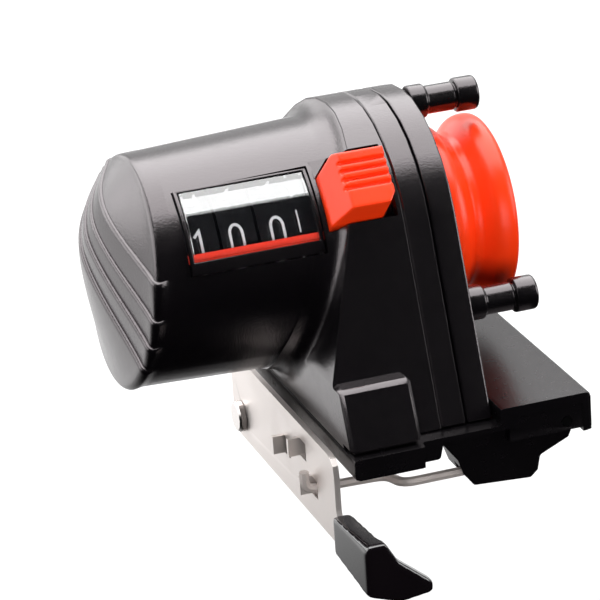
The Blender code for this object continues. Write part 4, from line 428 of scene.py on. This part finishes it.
def eased_loop(corners, radii, steps):
    """A closed outline with each corner replaced by a short curve of its own reach."""
    points = []
    count = len(corners)
    for i, corner in enumerate(corners):
        here = Vector(corner)
        before = Vector(corners[i - 1]) - here
        after = Vector(corners[(i + 1) % count]) - here
        reach = min(radii[i], before.length * MOST_OF_SIDE, after.length * MOST_OF_SIDE)
        if reach <= 0.0:
            points.append(tuple(here))
            continue
        start = here + before.normalized() * reach
        end = here + after.normalized() * reach
        for k in range(steps + 1):
            share = k / steps
            points.append(tuple(start.lerp(here, share).lerp(here.lerp(end, share), share)))
    return points


def outline_from(table, steps):
    """The eased outline of a table of (x, radius, ease) corners."""
    return eased_loop([(x, r) for x, r, _ in table], [ease for _, _, ease in table], steps)


def turned_mesh(profile, centre, steps):
    """A closed (x, radius) outline turned about the line through centre (y, z)."""
    mesh = bmesh.new()
    rings = []
    for x, radius in profile:
        if radius <= 0.0:
            rings.append([mesh.verts.new(Vector((x, *centre)) * MM)])
            continue
        ring = []
        for i in range(steps):
            turn = 2.0 * math.pi * i / steps
            place = (x, centre[0] + radius * math.cos(turn), centre[1] + radius * math.sin(turn))
            ring.append(mesh.verts.new(Vector(place) * MM))
        rings.append(ring)
    for a, b in zip(rings, rings[1:] + rings[:1]):
        if len(a) == 1 and len(b) == 1:
            continue
        for i in range(steps):
            j = (i + 1) % steps
            if len(a) == 1:
                mesh.faces.new((a[0], b[i], b[j]))
            elif len(b) == 1:
                mesh.faces.new((a[i], b[0], a[j]))
            else:
                mesh.faces.new((a[i], b[i], b[j], a[j]))
    return mesh


def softened(shape, node, name, material, body, voxel, rounds):
    """A shape with its edges run together, as a moulding or a dipped grip has them."""
    obj = linked(shape, name, material)
    obj.modifiers.new("join", "NODES").node_group = JOIN
    cells = obj.modifiers.new("cells", "REMESH")
    cells.mode = "VOXEL"
    cells.voxel_size = voxel * MM
    cells.use_smooth_shade = True
    run = obj.modifiers.new("run", "SMOOTH")
    run.factor = 0.5
    run.iterations = rounds
    stand_for(obj, node, body)


def sliced(mesh, point, normal, within, clear_outer=False):
    """Cuts a whole mesh along a plane, and drops what lies beyond it if asked."""
    made = bmesh.ops.bisect_plane(mesh, geom=mesh.verts[:] + mesh.edges[:] + mesh.faces[:],
                                  dist=within, plane_co=point, plane_no=normal,
                                  clear_outer=clear_outer)
    return [item for item in made["geom_cut"] if isinstance(item, bmesh.types.BMEdge)]


def cut_away(mesh, point, outward):
    """Takes off what lies beyond a plane and closes the cut."""
    bmesh.ops.holes_fill(mesh, edges=sliced(mesh, point, outward, ON_PLANE, True))


# Printed digits

# Each digit in a box one wide and two tall, as strokes. An arc has its centre, its two
# radii and its first and last angle in degrees.
DIGITS = {
    0: [("arc", (0.5, 1.45, 0.42, 0.5, 0, 180)), ("arc", (0.5, 0.55, 0.42, 0.5, 180, 360)),
        ("line", ((0.08, 0.55), (0.08, 1.45))), ("line", ((0.92, 0.55), (0.92, 1.45)))],
    1: [("line", ((0.15, 1.6), (0.55, 1.95), (0.55, 0.05)))],
    2: [("arc", (0.5, 1.48, 0.42, 0.47, 180, -38)),
        ("line", ((0.83, 1.19), (0.08, 0.05), (0.94, 0.05)))],
    3: [("arc", (0.48, 1.5, 0.38, 0.45, 150, -90)), ("arc", (0.48, 0.55, 0.42, 0.5, 90, -150))],
    4: [("line", ((0.72, 0.05), (0.72, 1.95), (0.06, 0.62), (0.96, 0.62)))],
    5: [("line", ((0.88, 1.95), (0.18, 1.95), (0.12, 1.12))),
        ("arc", (0.48, 0.62, 0.43, 0.57, 130, -150))],
    6: [("arc", (0.5, 0.6, 0.42, 0.55, 0, 360)),
        ("line", ((0.09, 0.72), (0.2, 1.35), (0.72, 1.95)))],
    7: [("line", ((0.08, 1.95), (0.92, 1.95), (0.38, 0.05)))],
    8: [("arc", (0.5, 1.5, 0.36, 0.45, 0, 360)), ("arc", (0.5, 0.55, 0.42, 0.5, 0, 360))],
    9: [("arc", (0.5, 1.4, 0.42, 0.55, 0, 360)),
        ("line", ((0.91, 1.28), (0.8, 0.65), (0.28, 0.05)))],
}
DIGIT_WIDE = 3.0
DIGIT_TALL = 7.2
STROKE = 0.52
ARC_STEPS = 10
LONGEST_STEP = 0.5
LEAST_MITRE = 0.5
PRINT_PROUD = 0.05
PRINT_SUNK = 0.10

# The angle at which a digit is read in the window, and from one digit to the next
READ_AT = 64.2
DIGIT_TURN = 36.0

# The units drum's ticks, two to a digit: the angle from its digit and half the height
TICKS_X = -17.9
TICKS = ((-5.5, 2.2), (12.5, 1.3))
TICK_STROKE = 0.28

# Each print's name and drum, its middle along the axle, the digit it shows and its ticks
PRINTS = (
    ("units_digits", "units_drum", -22.4, 0, TICKS_X),
    ("tens_digits", "tens_drum", -30.8, 0, None),
    ("hundreds_digits", "hundreds_drum", -38.2, 1, None),
)


def stroke_points(kind, values):
    """Points of a straight stroke or of an arc in a digit's unit box."""
    if kind == "line":
        return [tuple(v) for v in values]
    cx, cy, rx, ry, first, last = values
    turns = [math.radians(first + (last - first) * i / ARC_STEPS) for i in range(ARC_STEPS + 1)]
    return [(cx + rx * math.cos(t), cy + ry * math.sin(t)) for t in turns]


def finer(points):
    """The same path with no step longer than LONGEST_STEP."""
    path = [Vector(points[0])]
    for a, b in zip(points, points[1:]):
        a, b = Vector(a), Vector(b)
        count = max(1, math.ceil((b - a).length / LONGEST_STEP))
        path.extend(a.lerp(b, (i + 1) / count) for i in range(count))
    return [tuple(p) for p in path]


def wrapped(x, up, radius, centre_angle):
    """A point of the print on a drum: x along the axle, up round it from centre_angle."""
    return round_axle(x, radius, math.radians(centre_angle) - up / DRUM_R)


def ribbon(mesh, points, x_of, centre_angle, stroke):
    """One stroke as a thin closed strip on the drum."""
    rings = []
    for i, point in enumerate(points):
        before = Vector(points[max(i - 1, 0)])
        after = Vector(points[min(i + 1, len(points) - 1)])
        here = Vector(point)
        first = (here - before).normalized() if i else (after - here).normalized()
        last = (after - here).normalized() if i < len(points) - 1 else first
        along = (first + last).normalized()
        across = Vector((-along.y, along.x))
        spread = stroke / 2 / max(LEAST_MITRE, across.dot(Vector((-last.y, last.x))))
        ring = []
        for side, radius in ((1, DRUM_R + PRINT_PROUD), (-1, DRUM_R + PRINT_PROUD),
                             (-1, DRUM_R - PRINT_SUNK), (1, DRUM_R - PRINT_SUNK)):
            at = here + across * spread * side
            ring.append(mesh.verts.new(wrapped(x_of + at.x, at.y, radius, centre_angle)))
        rings.append(ring)
    closed(mesh, rings)


def numbered_drum(name, body, x_centre, shown, ticks_x):
    """The ten digits of a drum, with the shown one in the window."""
    mesh = bmesh.new()
    for digit, strokes in DIGITS.items():
        angle = READ_AT + DIGIT_TURN * (digit - shown)
        for kind, values in strokes:
            unit = stroke_points(kind, values)
            points = [((u - 0.5) * DIGIT_WIDE, (v - 1.0) * DIGIT_TALL / 2) for u, v in unit]
            ribbon(mesh, finer(points), x_centre, angle, STROKE)
        if ticks_x is None:
            continue
        for past, half in TICKS:
            ribbon(mesh, finer([(0.0, -half), (0.0, half)]), ticks_x, angle + past, TICK_STROKE)
    carried(object_from(mesh, name, PRINT_WHITE), body)


# Red stripe under the digits

STRIPE_FROM = 67.0
STRIPE_TO = 71.5
STRIPE_INNER = 20.6
STRIPE_OUTER = 21.9
STRIPE_STEPS = 8


def make_stripe():
    """The red stripe along the window's lower edge."""
    section = ((WINDOW_LEFT, STRIPE_OUTER), (WINDOW_RIGHT, STRIPE_OUTER),
               (WINDOW_RIGHT, STRIPE_INNER), (WINDOW_LEFT, STRIPE_INNER))
    stripe = curved_strip("window_stripe", section, STRIPE_FROM, STRIPE_TO, STRIPE_STEPS,
                          STRIPE_RED)
    carried(stripe, "counter_body")


# Wheel and pegs

# Corners as (x, radius, ease)
WHEEL_OUTLINE = [
    (13.0, 12.0, 0.4), (13.0, 18.9, 1.8), (16.9, 18.9, 1.6), (19.6, 15.9, 1.6), (21.2, 15.9, 1.6),
    (24.0, 19.3, 2.2), (28.0, 19.3, 2.4), (28.0, 15.6, 0.9), (23.0, 14.5, 1.2), (23.0, 6.4, 0.9),
    (24.5, 5.0, 0.5), (24.5, 1.6, 0.0), (12.4, 1.6, 0.0), (12.4, 5.0, 0.3), (14.2, 5.0, 0.3),
    (14.2, 12.0, 0.3),
]
WHEEL_STEPS = 120
WHEEL_EASE_STEPS = 6
WHEEL_RIBS = 5
FIRST_RIB = 0.25

# A rib of the wheel's dish: its ends from the axle, half its width, its foot and its crest
RIB_INNER = 4.6
RIB_OUTER = 14.9
RIB_HALF = 0.6
RIB_FOOT = 22.8
RIB_CREST = 24.2
RIB_EASE = RIB_HALF * 0.7
RIB_EASE_STEPS = 4

PEG_OUTLINE = [
    (10.1, 0.0, 0.0), (10.1, 1.9, 0.2), (11.9, 1.9, 0.0), (11.9, 3.5, 0.3), (15.2, 3.5, 0.5),
    (15.5, 2.9, 0.3), (21.3, 2.9, 0.25), (21.5, 2.5, 0.15), (21.8, 2.5, 0.15), (21.9, 3.5, 0.4),
    (26.4, 3.5, 0.8), (26.4, 2.0, 0.3), (26.15, 1.6, 0.2), (26.15, 0.0, 0.0),
]
PEG_STEPS = 64
PEG_EASE_STEPS = 4

# Each peg's name, the node it stands for and its place as (y, z)
PEGS = (
    ("upper_peg", "upper_line_guide", (-1.2, 55.0)),
    ("lower_peg", "lower_line_guide", (-28.2, 21.1)),
)


def add_rib(mesh, turn):
    """A thin rounded rib along a radius of the wheel's dish."""
    corners = eased_loop([(-RIB_HALF, RIB_FOOT), (-RIB_HALF, RIB_CREST),
                          (RIB_HALF, RIB_CREST), (RIB_HALF, RIB_FOOT)],
                         [0.0, RIB_EASE, RIB_EASE, 0.0], RIB_EASE_STEPS)
    ends = []
    for radius in (RIB_INNER, RIB_OUTER):
        ring = []
        for across, x in corners:
            y = radius * math.cos(turn) - across * math.sin(turn)
            z = AXLE_Z + radius * math.sin(turn) + across * math.cos(turn)
            ring.append(mesh.verts.new(Vector((x, y, z)) * MM))
        ends.append(ring)
    closed(mesh, ends)


def make_wheel():
    """The grooved line wheel, with the ribs of its dish."""
    mesh = turned_mesh(outline_from(WHEEL_OUTLINE, WHEEL_EASE_STEPS), (0.0, AXLE_Z), WHEEL_STEPS)
    for i in range(WHEEL_RIBS):
        add_rib(mesh, 2.0 * math.pi * (i + FIRST_RIB) / WHEEL_RIBS)
    wheel = object_from(mesh, "line_wheel", ORANGE)
    shade(wheel, TURNED_CREASE)
    stand_for(wheel, "measuring_wheel", "measuring_wheel")


def make_pegs():
    """The two headed pegs that guide the line."""
    outline = outline_from(PEG_OUTLINE, PEG_EASE_STEPS)
    for name, node, place in PEGS:
        peg = object_from(turned_mesh(outline, place, PEG_STEPS), name, PEG_BLACK)
        shade(peg, TURNED_CREASE)
        stand_for(peg, node, "counter_body")


# Button, its corners and its spring

BUTTON_AT = math.radians(50.5)
BUTTON_FLOOR = 20.8
BUTTON_ACROSS = Vector((0.0, -math.cos(BUTTON_AT), -math.sin(BUTTON_AT)))
BUTTON_OUT = Vector((0.0, -math.sin(BUTTON_AT), math.cos(BUTTON_AT)))
BUTTON_VOXEL = 0.20
BUTTON_ROUNDS = 12

# Each corner taken off the button: a point (x, across) on the cut and the way out of it
BUTTON_CUTS = ((-12.9, -4.0, -0.717, -0.696), (-0.3, 3.6, 0.826, 0.565))

# The barrel's filled corners beside those cuts, as (x, across), and how high they start
BUTTON_CORNERS = (
    ((-13.7, -7.6), (-10.0, -7.6), (-13.7, -3.7)),
    ((-0.1, 7.5), (-0.1, 4.0), (-2.5, 7.5)),
)
CORNER_FOOT = BUTTON_FLOOR + 0.2

# The barrel's radius at one place along it
SKIN_X = -9.6
SKIN_R = 24.66


def beside_button(x, across, out):
    """A point by its place along the barrel, across the button and out from the axle."""
    return (Vector((x, 0.0, AXLE_Z)) + BUTTON_ACROSS * across + BUTTON_OUT * out) * MM


def half_button(outward):
    """The button's solid, less what lies outward of the level where its corners stop."""
    mesh = bmesh.new()
    mesh.from_mesh(nodes["reset_button"].data)
    bmesh.ops.remove_doubles(mesh, verts=mesh.verts, dist=SAME_POINT)
    cut_away(mesh, beside_button(0.0, 0.0, BUTTON_FLOOR), outward)
    return mesh


def make_button():
    """The ribbed button with its two photographed corners taken off, and its plain stem."""
    mesh = half_button(-BUTTON_OUT)
    for x, across, lean_x, lean_across in BUTTON_CUTS:
        normal = Vector((lean_x, 0.0, 0.0)) + BUTTON_ACROSS * lean_across
        cut_away(mesh, beside_button(x, across, 0.0), normal.normalized())
    shape = bpy.data.meshes.new("button_shape")
    mesh.to_mesh(shape)
    mesh.free()
    softened(shape, "reset_button", "ribbed_button", ORANGE, "reset_button",
             BUTTON_VOXEL, BUTTON_ROUNDS)
    stem = object_from(half_button(BUTTON_OUT), "button_stem", ORANGE)
    shade(stem, FLAT_CREASE)
    stand_for(stem, "reset_button", "reset_button")


def make_corners():
    """The barrel's skin beside the button's cut corners."""
    for number, corners in enumerate(BUTTON_CORNERS, 1):
        mesh = bmesh.new()
        low, high = [], []
        for x, across in corners:
            radius = SKIN_R + BARREL_TAPER * (x - SKIN_X)
            level = math.sqrt(radius ** 2 - across ** 2)
            low.append(mesh.verts.new(beside_button(x, across, CORNER_FOOT)))
            high.append(mesh.verts.new(beside_button(x, across, level)))
        closed(mesh, [low, high])
        corner = object_from(mesh, f"button_corner_{number}", BLACK)
        carried(corner, "counter_body")


def make_spring():
    """The button's spring, in a mesh of its own."""
    coil = linked(nodes["reset_spring"].data.copy(), "coil_spring", ROUND_STEEL)
    shade(coil, TURNED_CREASE)
    stand_for(coil, "reset_spring", "counter_body")
    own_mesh(coil)


# Window

LENS_LEFT = -40.9
LENS_RIGHT = -15.5
LENS_FROM = 36.6
LENS_TO = 70.2
LENS_INNER = 22.1
LENS_OUTER = 24.0
LENS_EASE = 0.15
LENS_STEPS = 24


def make_lens():
    """The window's clear moulding, filling its frame to just under the frame's face."""
    edge = LENS_OUTER - LENS_EASE
    section = ((LENS_LEFT, LENS_INNER), (LENS_LEFT, edge), (LENS_LEFT + LENS_EASE, LENS_OUTER),
               (LENS_RIGHT - LENS_EASE, LENS_OUTER), (LENS_RIGHT, edge),
               (LENS_RIGHT, LENS_INNER))
    lens = curved_strip("clear_window", section, LENS_FROM, LENS_TO, LENS_STEPS, CLEAR)
    shade(lens, FLAT_CREASE)
    lens.visible_shadow = False
    stand_for(lens, "window_lens", "counter_body")


# Lapped cap

# The cap's rim and bulge, as the solid has them. The apex lies off the rim's middle.
CAP_X = -49.3
CAP_R = 23.1
CAP_DEEP = 6.8
CAP_SLANT = math.tan(math.radians(8.25))
APEX_Y = 5.0
APEX_Z = 5.4
BULGE_POWER = 1.64
DOME_POWER = 1.14
CAP_STEPS = 180
CAP_RINGS = 34

# The bulge draws in a little more near its edge
EDGE_DRAWN = 0.33
EDGE_POWER = 6

# The rounded edge between the bulge and the lip, by its angles in degrees
CAP_FILLET = 1.25
FILLET_MIDDLE = -0.06 + CAP_FILLET * 0.5
FILLET_FROM = 26.0
FILLET_TURN = 66.0
FILLET_STEPS = 9

# The lip over the barrel: how far it stands out, where its rings are, and its turned edge
CAP_LIP = 0.03
LIP_AT = (1.1, 1.7, 2.4, 3.2)
LIP_END = 3.22
LIP_TURNED = 0.25
CAP_WALL = 1.0

# The four ledges: a point (y, rise over the axle) on each and its slope in degrees
CAP_RIDGES = ((-22.7, 5.2, 21.5), (-22.9, -2.5, 27.0), (-21.4, -8.4, 31.5), (-18.3, -13.9, 34.5))
LEDGE_ROUND = 0.8

# The rows of edges beside each ledge, and how near one a corner counts as on it
LEDGE_CUTS = (0.5, 0.08, 0.0, -0.04, -0.12, -0.24, -0.42, -LEDGE_ROUND, -1.3)
NEAR_CUT = 0.001

# How tall a ledge stands: the last one, and the others by the width of their band
LAST_LEDGE = 0.70
LEDGE_RISE = 0.11
LEDGE_LEAST = 0.12
NARROWEST_BAND = 0.01

# Where the ledges have run out on the lip, over what length, and how fast
FADE_END = 1.9
FADE_LONG = 1.6
FADE_POWER = 0.7


def ridge_lines():
    """Each ledge's point (y, rise) and its normal (y, z)."""
    for at_y, rise, slope in CAP_RIDGES:
        turn = math.radians(slope)
        yield at_y, rise, -math.sin(turn), math.cos(turn)


def ledge_height(y, z):
    """How far the bands stand out of the bulge, each one most at its upper edge."""
    above = [normal_y * (y - at_y) + normal_z * (z - AXLE_Z - rise)
             for at_y, rise, normal_y, normal_z in ridge_lines()]
    below = sum(height <= 0.0 for height in above)
    if below == 0:
        return 0.0
    under = -above[below - 1]
    if below == len(above):
        tall = LAST_LEDGE * max(0.0, 1.0 - under / CAP_R)
    else:
        band = above[below] + under
        tall = (LEDGE_RISE * band + LEDGE_LEAST) * above[below] / max(band, NARROWEST_BAND)
    share = min(1.0, under / LEDGE_ROUND)
    return tall * math.sqrt(1.0 - (1.0 - share) ** 2)


def cap_path():
    """Rings of the cap from its apex to its lip, as (distance past the rim, radius)."""
    rings = []
    edge = CAP_R + CAP_LIP - CAP_FILLET
    last = edge + CAP_FILLET * math.sin(math.radians(FILLET_FROM))
    for i in range(1, CAP_RINGS):
        radius = last * i / CAP_RINGS
        share = 1.0 - (radius / CAP_R) ** BULGE_POWER
        drawn = EDGE_DRAWN * (radius / last) ** EDGE_POWER
        rings.append((-CAP_DEEP * share ** DOME_POWER - drawn, radius))
    for i in range(FILLET_STEPS + 1):
        turn = math.radians(FILLET_FROM + FILLET_TURN * i / FILLET_STEPS)
        rings.append((FILLET_MIDDLE - CAP_FILLET * math.cos(turn),
                      edge + CAP_FILLET * math.sin(turn)))
    start = rings[-1][0]
    for past in LIP_AT:
        rings.append((past, CAP_R + CAP_LIP + BARREL_TAPER * (past - start)))
    rings.append((LIP_END, rings[-1][1] - LIP_TURNED))
    return rings


def plain_cap():
    """The cap without its ledges, in millimetres, and the vertex at its apex."""
    mesh = bmesh.new()
    apex = mesh.verts.new((CAP_X - CAP_DEEP, APEX_Y, AXLE_Z + APEX_Z))
    rings = []
    for past, radius in cap_path():
        share = max(0.0, 1.0 - (min(radius, CAP_R) / CAP_R) ** BULGE_POWER)
        ring = []
        for i in range(CAP_STEPS):
            turn = 2.0 * math.pi * i / CAP_STEPS
            y = radius * math.sin(turn) + APEX_Y * share
            z = AXLE_Z + radius * math.cos(turn) + APEX_Z * share
            ring.append(mesh.verts.new((CAP_X + past, y, z)))
        rings.append(ring)
    for i in range(CAP_STEPS):
        mesh.faces.new((apex, rings[0][i], rings[0][(i + 1) % CAP_STEPS]))
    walled(mesh, rings)
    return mesh, apex


def make_cap():
    """The domed end cap with its four lapped bands."""
    mesh, apex = plain_cap()
    for at_y, rise, normal_y, normal_z in ridge_lines():
        normal = Vector((0.0, normal_y, normal_z))
        for off in LEDGE_CUTS:
            sliced(mesh, Vector((0.0, at_y, AXLE_Z + rise)) + normal * off, normal,
                   NEAR_CUT)
    bmesh.ops.recalc_face_normals(mesh, faces=mesh.faces)
    if apex.normal.x > 0.0:
        bmesh.ops.reverse_faces(mesh, faces=mesh.faces)
    mesh.normal_update()
    moves = []
    for vert in mesh.verts:
        fade = min(1.0, max(0.0, (FADE_END - (vert.co.x - CAP_X)) / FADE_LONG)) ** FADE_POWER
        moves.append(vert.normal * ledge_height(vert.co.y, vert.co.z) * fade)
    for vert, move in zip(mesh.verts, moves):
        vert.co += move
        vert.co.x += CAP_SLANT * (vert.co.z - AXLE_Z)
        vert.co *= MM
    cap = object_from(mesh, "lapped_cap", BLACK)
    wall = cap.modifiers.new("wall", "SOLIDIFY")
    wall.thickness = CAP_WALL * MM
    wall.offset = -1.0
    shade(cap, CAP_CREASE)
    stand_for(cap, "end_cap", "counter_body")


# Grip

GRIP_VOXEL = 0.25
GRIP_ROUNDS = 44


def make_grip():
    """The lever's grip with its edges run together."""
    softened(nodes["lever_grip"].data.copy(), "lever_grip", "dipped_grip", GRIP_BLACK,
             "clamp_lever", GRIP_VOXEL, GRIP_ROUNDS)


# Camera, stage and light, in metres

# The camera's place, turn and lens, from a perspective fit to the photo
CAMERA_AT = (-0.2104, -0.6156, 0.2710)
CAMERA_TURN = ((0.94202, 0.17863, -0.28404), (-0.32904, 0.32597, -0.88628),
               (-0.06573, 0.92836, 0.36585))
CAMERA_LENS = 205.6
CAMERA_SENSOR = 36.0
CAMERA_NEAR = 0.01
CAMERA_FAR = 50.0

# The paper: its level, its ends along Y, half its width, and its colour at the back
PAPER_Z = -0.085
PAPER_FRONT = -1.2
PAPER_BACK = 3.0
PAPER_HALF = 3.0
PAPER_WHITE = 0.20

# Along Y, the paper turns from a painted shade in front, black in its own colour and in
# reflections, to white, with this glow at the back
DARK_TO = 0.020
WHITE_FROM = 0.180
GLOW = 0.85

# The same for the room round it, by the direction's Y
ROOM_DARK_TO = -0.05
ROOM_WHITE_FROM = 0.45

# Each lamp's name, place, aim, width, height and radiance, and whether it is mirrored
LAMPS = (
    ("overhead", (0.10, 0.45, 0.83), (0.10, 0.45, 0.0), 1.4, 1.7, 3.5, True),
    ("left", (-0.95, 0.32, 0.42), (0.0, 0.0, 0.03), 1.2, 0.8, 1.9, True),
    ("back_left", (-0.45, 0.95, 0.30), (0.0, 0.0, 0.03), 0.8, 0.5, 1.7, True),
    ("right", (0.85, -0.45, 0.30), (0.02, 0.0, 0.03), 0.6, 0.6, 3.2, True),
    ("fill", (-0.15, -1.1, 0.02), (0.0, 0.0, 0.02), 0.9, 0.7, 6.5, False),
)


def make_camera():
    """A camera at the photograph's viewing angle."""
    data = bpy.data.cameras.new("camera")
    data.sensor_width = CAMERA_SENSOR
    data.lens = CAMERA_LENS
    data.clip_start = CAMERA_NEAR
    data.clip_end = CAMERA_FAR
    camera = bpy.data.objects.new("camera", data)
    bpy.context.scene.collection.objects.link(camera)
    camera.matrix_world = Matrix.Translation(CAMERA_AT) @ Matrix(CAMERA_TURN).to_4x4()
    bpy.context.scene.camera = camera


def paper_material():
    """White paper that also glows, to the eye everywhere and in reflections at the back, with a
    painted shade that makes its front black in colour and in reflections.
    """
    material, tree, shader = new_material("paper_floor")
    shader.inputs["Roughness"].default_value = 0.9
    shader.inputs["Specular IOR Level"].default_value = 0.0
    split = tree.nodes.new("ShaderNodeSeparateXYZ")
    tree.links.new(place_coordinates(tree), split.inputs[0])
    along = split.outputs["Y"]
    # Painted shade: the paper's own colour is black in front and pale only at the back
    tree.links.new(ranged(tree, along, DARK_TO, WHITE_FROM, 0.0, PAPER_WHITE),
                   shader.inputs["Base Color"])
    rays = tree.nodes.new("ShaderNodeLightPath").outputs
    shown = combined(tree, "MAXIMUM", rays["Is Glossy Ray"], rays["Is Transmission Ray"])
    # Painted shade in reflections: the glow they see is nothing in front and rises to GLOW at the
    # back
    mirrored = combined(tree, "MULTIPLY", shown,
                        ranged(tree, along, DARK_TO, WHITE_FROM, 0.0, GLOW))
    to_eye = combined(tree, "MULTIPLY", rays["Is Camera Ray"],
                      ranged(tree, along, DARK_TO, WHITE_FROM, 1.0, GLOW))
    shader.inputs["Emission Color"].default_value = (1.0, 1.0, 1.0, 1.0)
    tree.links.new(combined(tree, "ADD", mirrored, to_eye), shader.inputs["Emission Strength"])
    return material


def make_paper():
    """The plain pale floor."""
    mesh = bmesh.new()
    mesh.faces.new([mesh.verts.new((x, y, PAPER_Z)) for x, y in (
        (-PAPER_HALF, PAPER_FRONT), (PAPER_HALF, PAPER_FRONT),
        (PAPER_HALF, PAPER_BACK), (-PAPER_HALF, PAPER_BACK))])
    object_from(mesh, "floor", paper_material())


def make_lamp(name, place, aim, wide, tall, radiance, mirrored):
    """An area light of a given brightness, facing a point."""
    data = bpy.data.lights.new(name, "AREA")
    data.shape = "RECTANGLE"
    data.size = wide
    data.size_y = tall
    data.energy = radiance * math.pi * wide * tall
    obj = bpy.data.objects.new(name, data)
    bpy.context.scene.collection.objects.link(obj)
    obj.location = place
    obj.rotation_mode = "QUATERNION"
    obj.rotation_quaternion = (Vector(aim) - Vector(place)).to_track_quat("-Z", "Y")
    obj.visible_camera = False
    obj.visible_glossy = mirrored


def make_world():
    """White behind, dark in front, and plain white to the eye."""
    world = bpy.data.worlds.new("studio")
    world.use_nodes = True
    tree = world.node_tree
    direction = tree.nodes.new("ShaderNodeTexCoord").outputs["Generated"]
    split = tree.nodes.new("ShaderNodeSeparateXYZ")
    tree.links.new(direction, split.inputs[0])
    room = ranged(tree, split.outputs["Y"], ROOM_DARK_TO, ROOM_WHITE_FROM, 0.0, GLOW)
    rays = tree.nodes.new("ShaderNodeLightPath")
    mix = tree.nodes.new("ShaderNodeMix")
    mix.data_type = "FLOAT"
    tree.links.new(rays.outputs["Is Camera Ray"], mix.inputs["Factor"])
    tree.links.new(room, mix.inputs["A"])
    mix.inputs["B"].default_value = 1.0
    ground = tree.nodes["Background"]
    tree.links.new(mix.outputs["Result"], ground.inputs["Strength"])
    ground.inputs["Color"].default_value = (1.0, 1.0, 1.0, 1.0)
    bpy.context.scene.world = world


for look, names in LOOKS.items():
    for node_name in names:
        dress(nodes[node_name], look, EASED.get(node_name, 0.0))
for name, body, x_centre, shown, ticks_x in PRINTS:
    numbered_drum(name, body, x_centre, shown, ticks_x)
make_stripe()
make_wheel()
make_pegs()
make_cap()
make_lens()
make_button()
make_corners()
make_spring()
make_grip()

make_camera()
make_paper()
for values in LAMPS:
    make_lamp(*values)
make_world()
bpy.context.scene.view_settings.view_transform = "Standard"
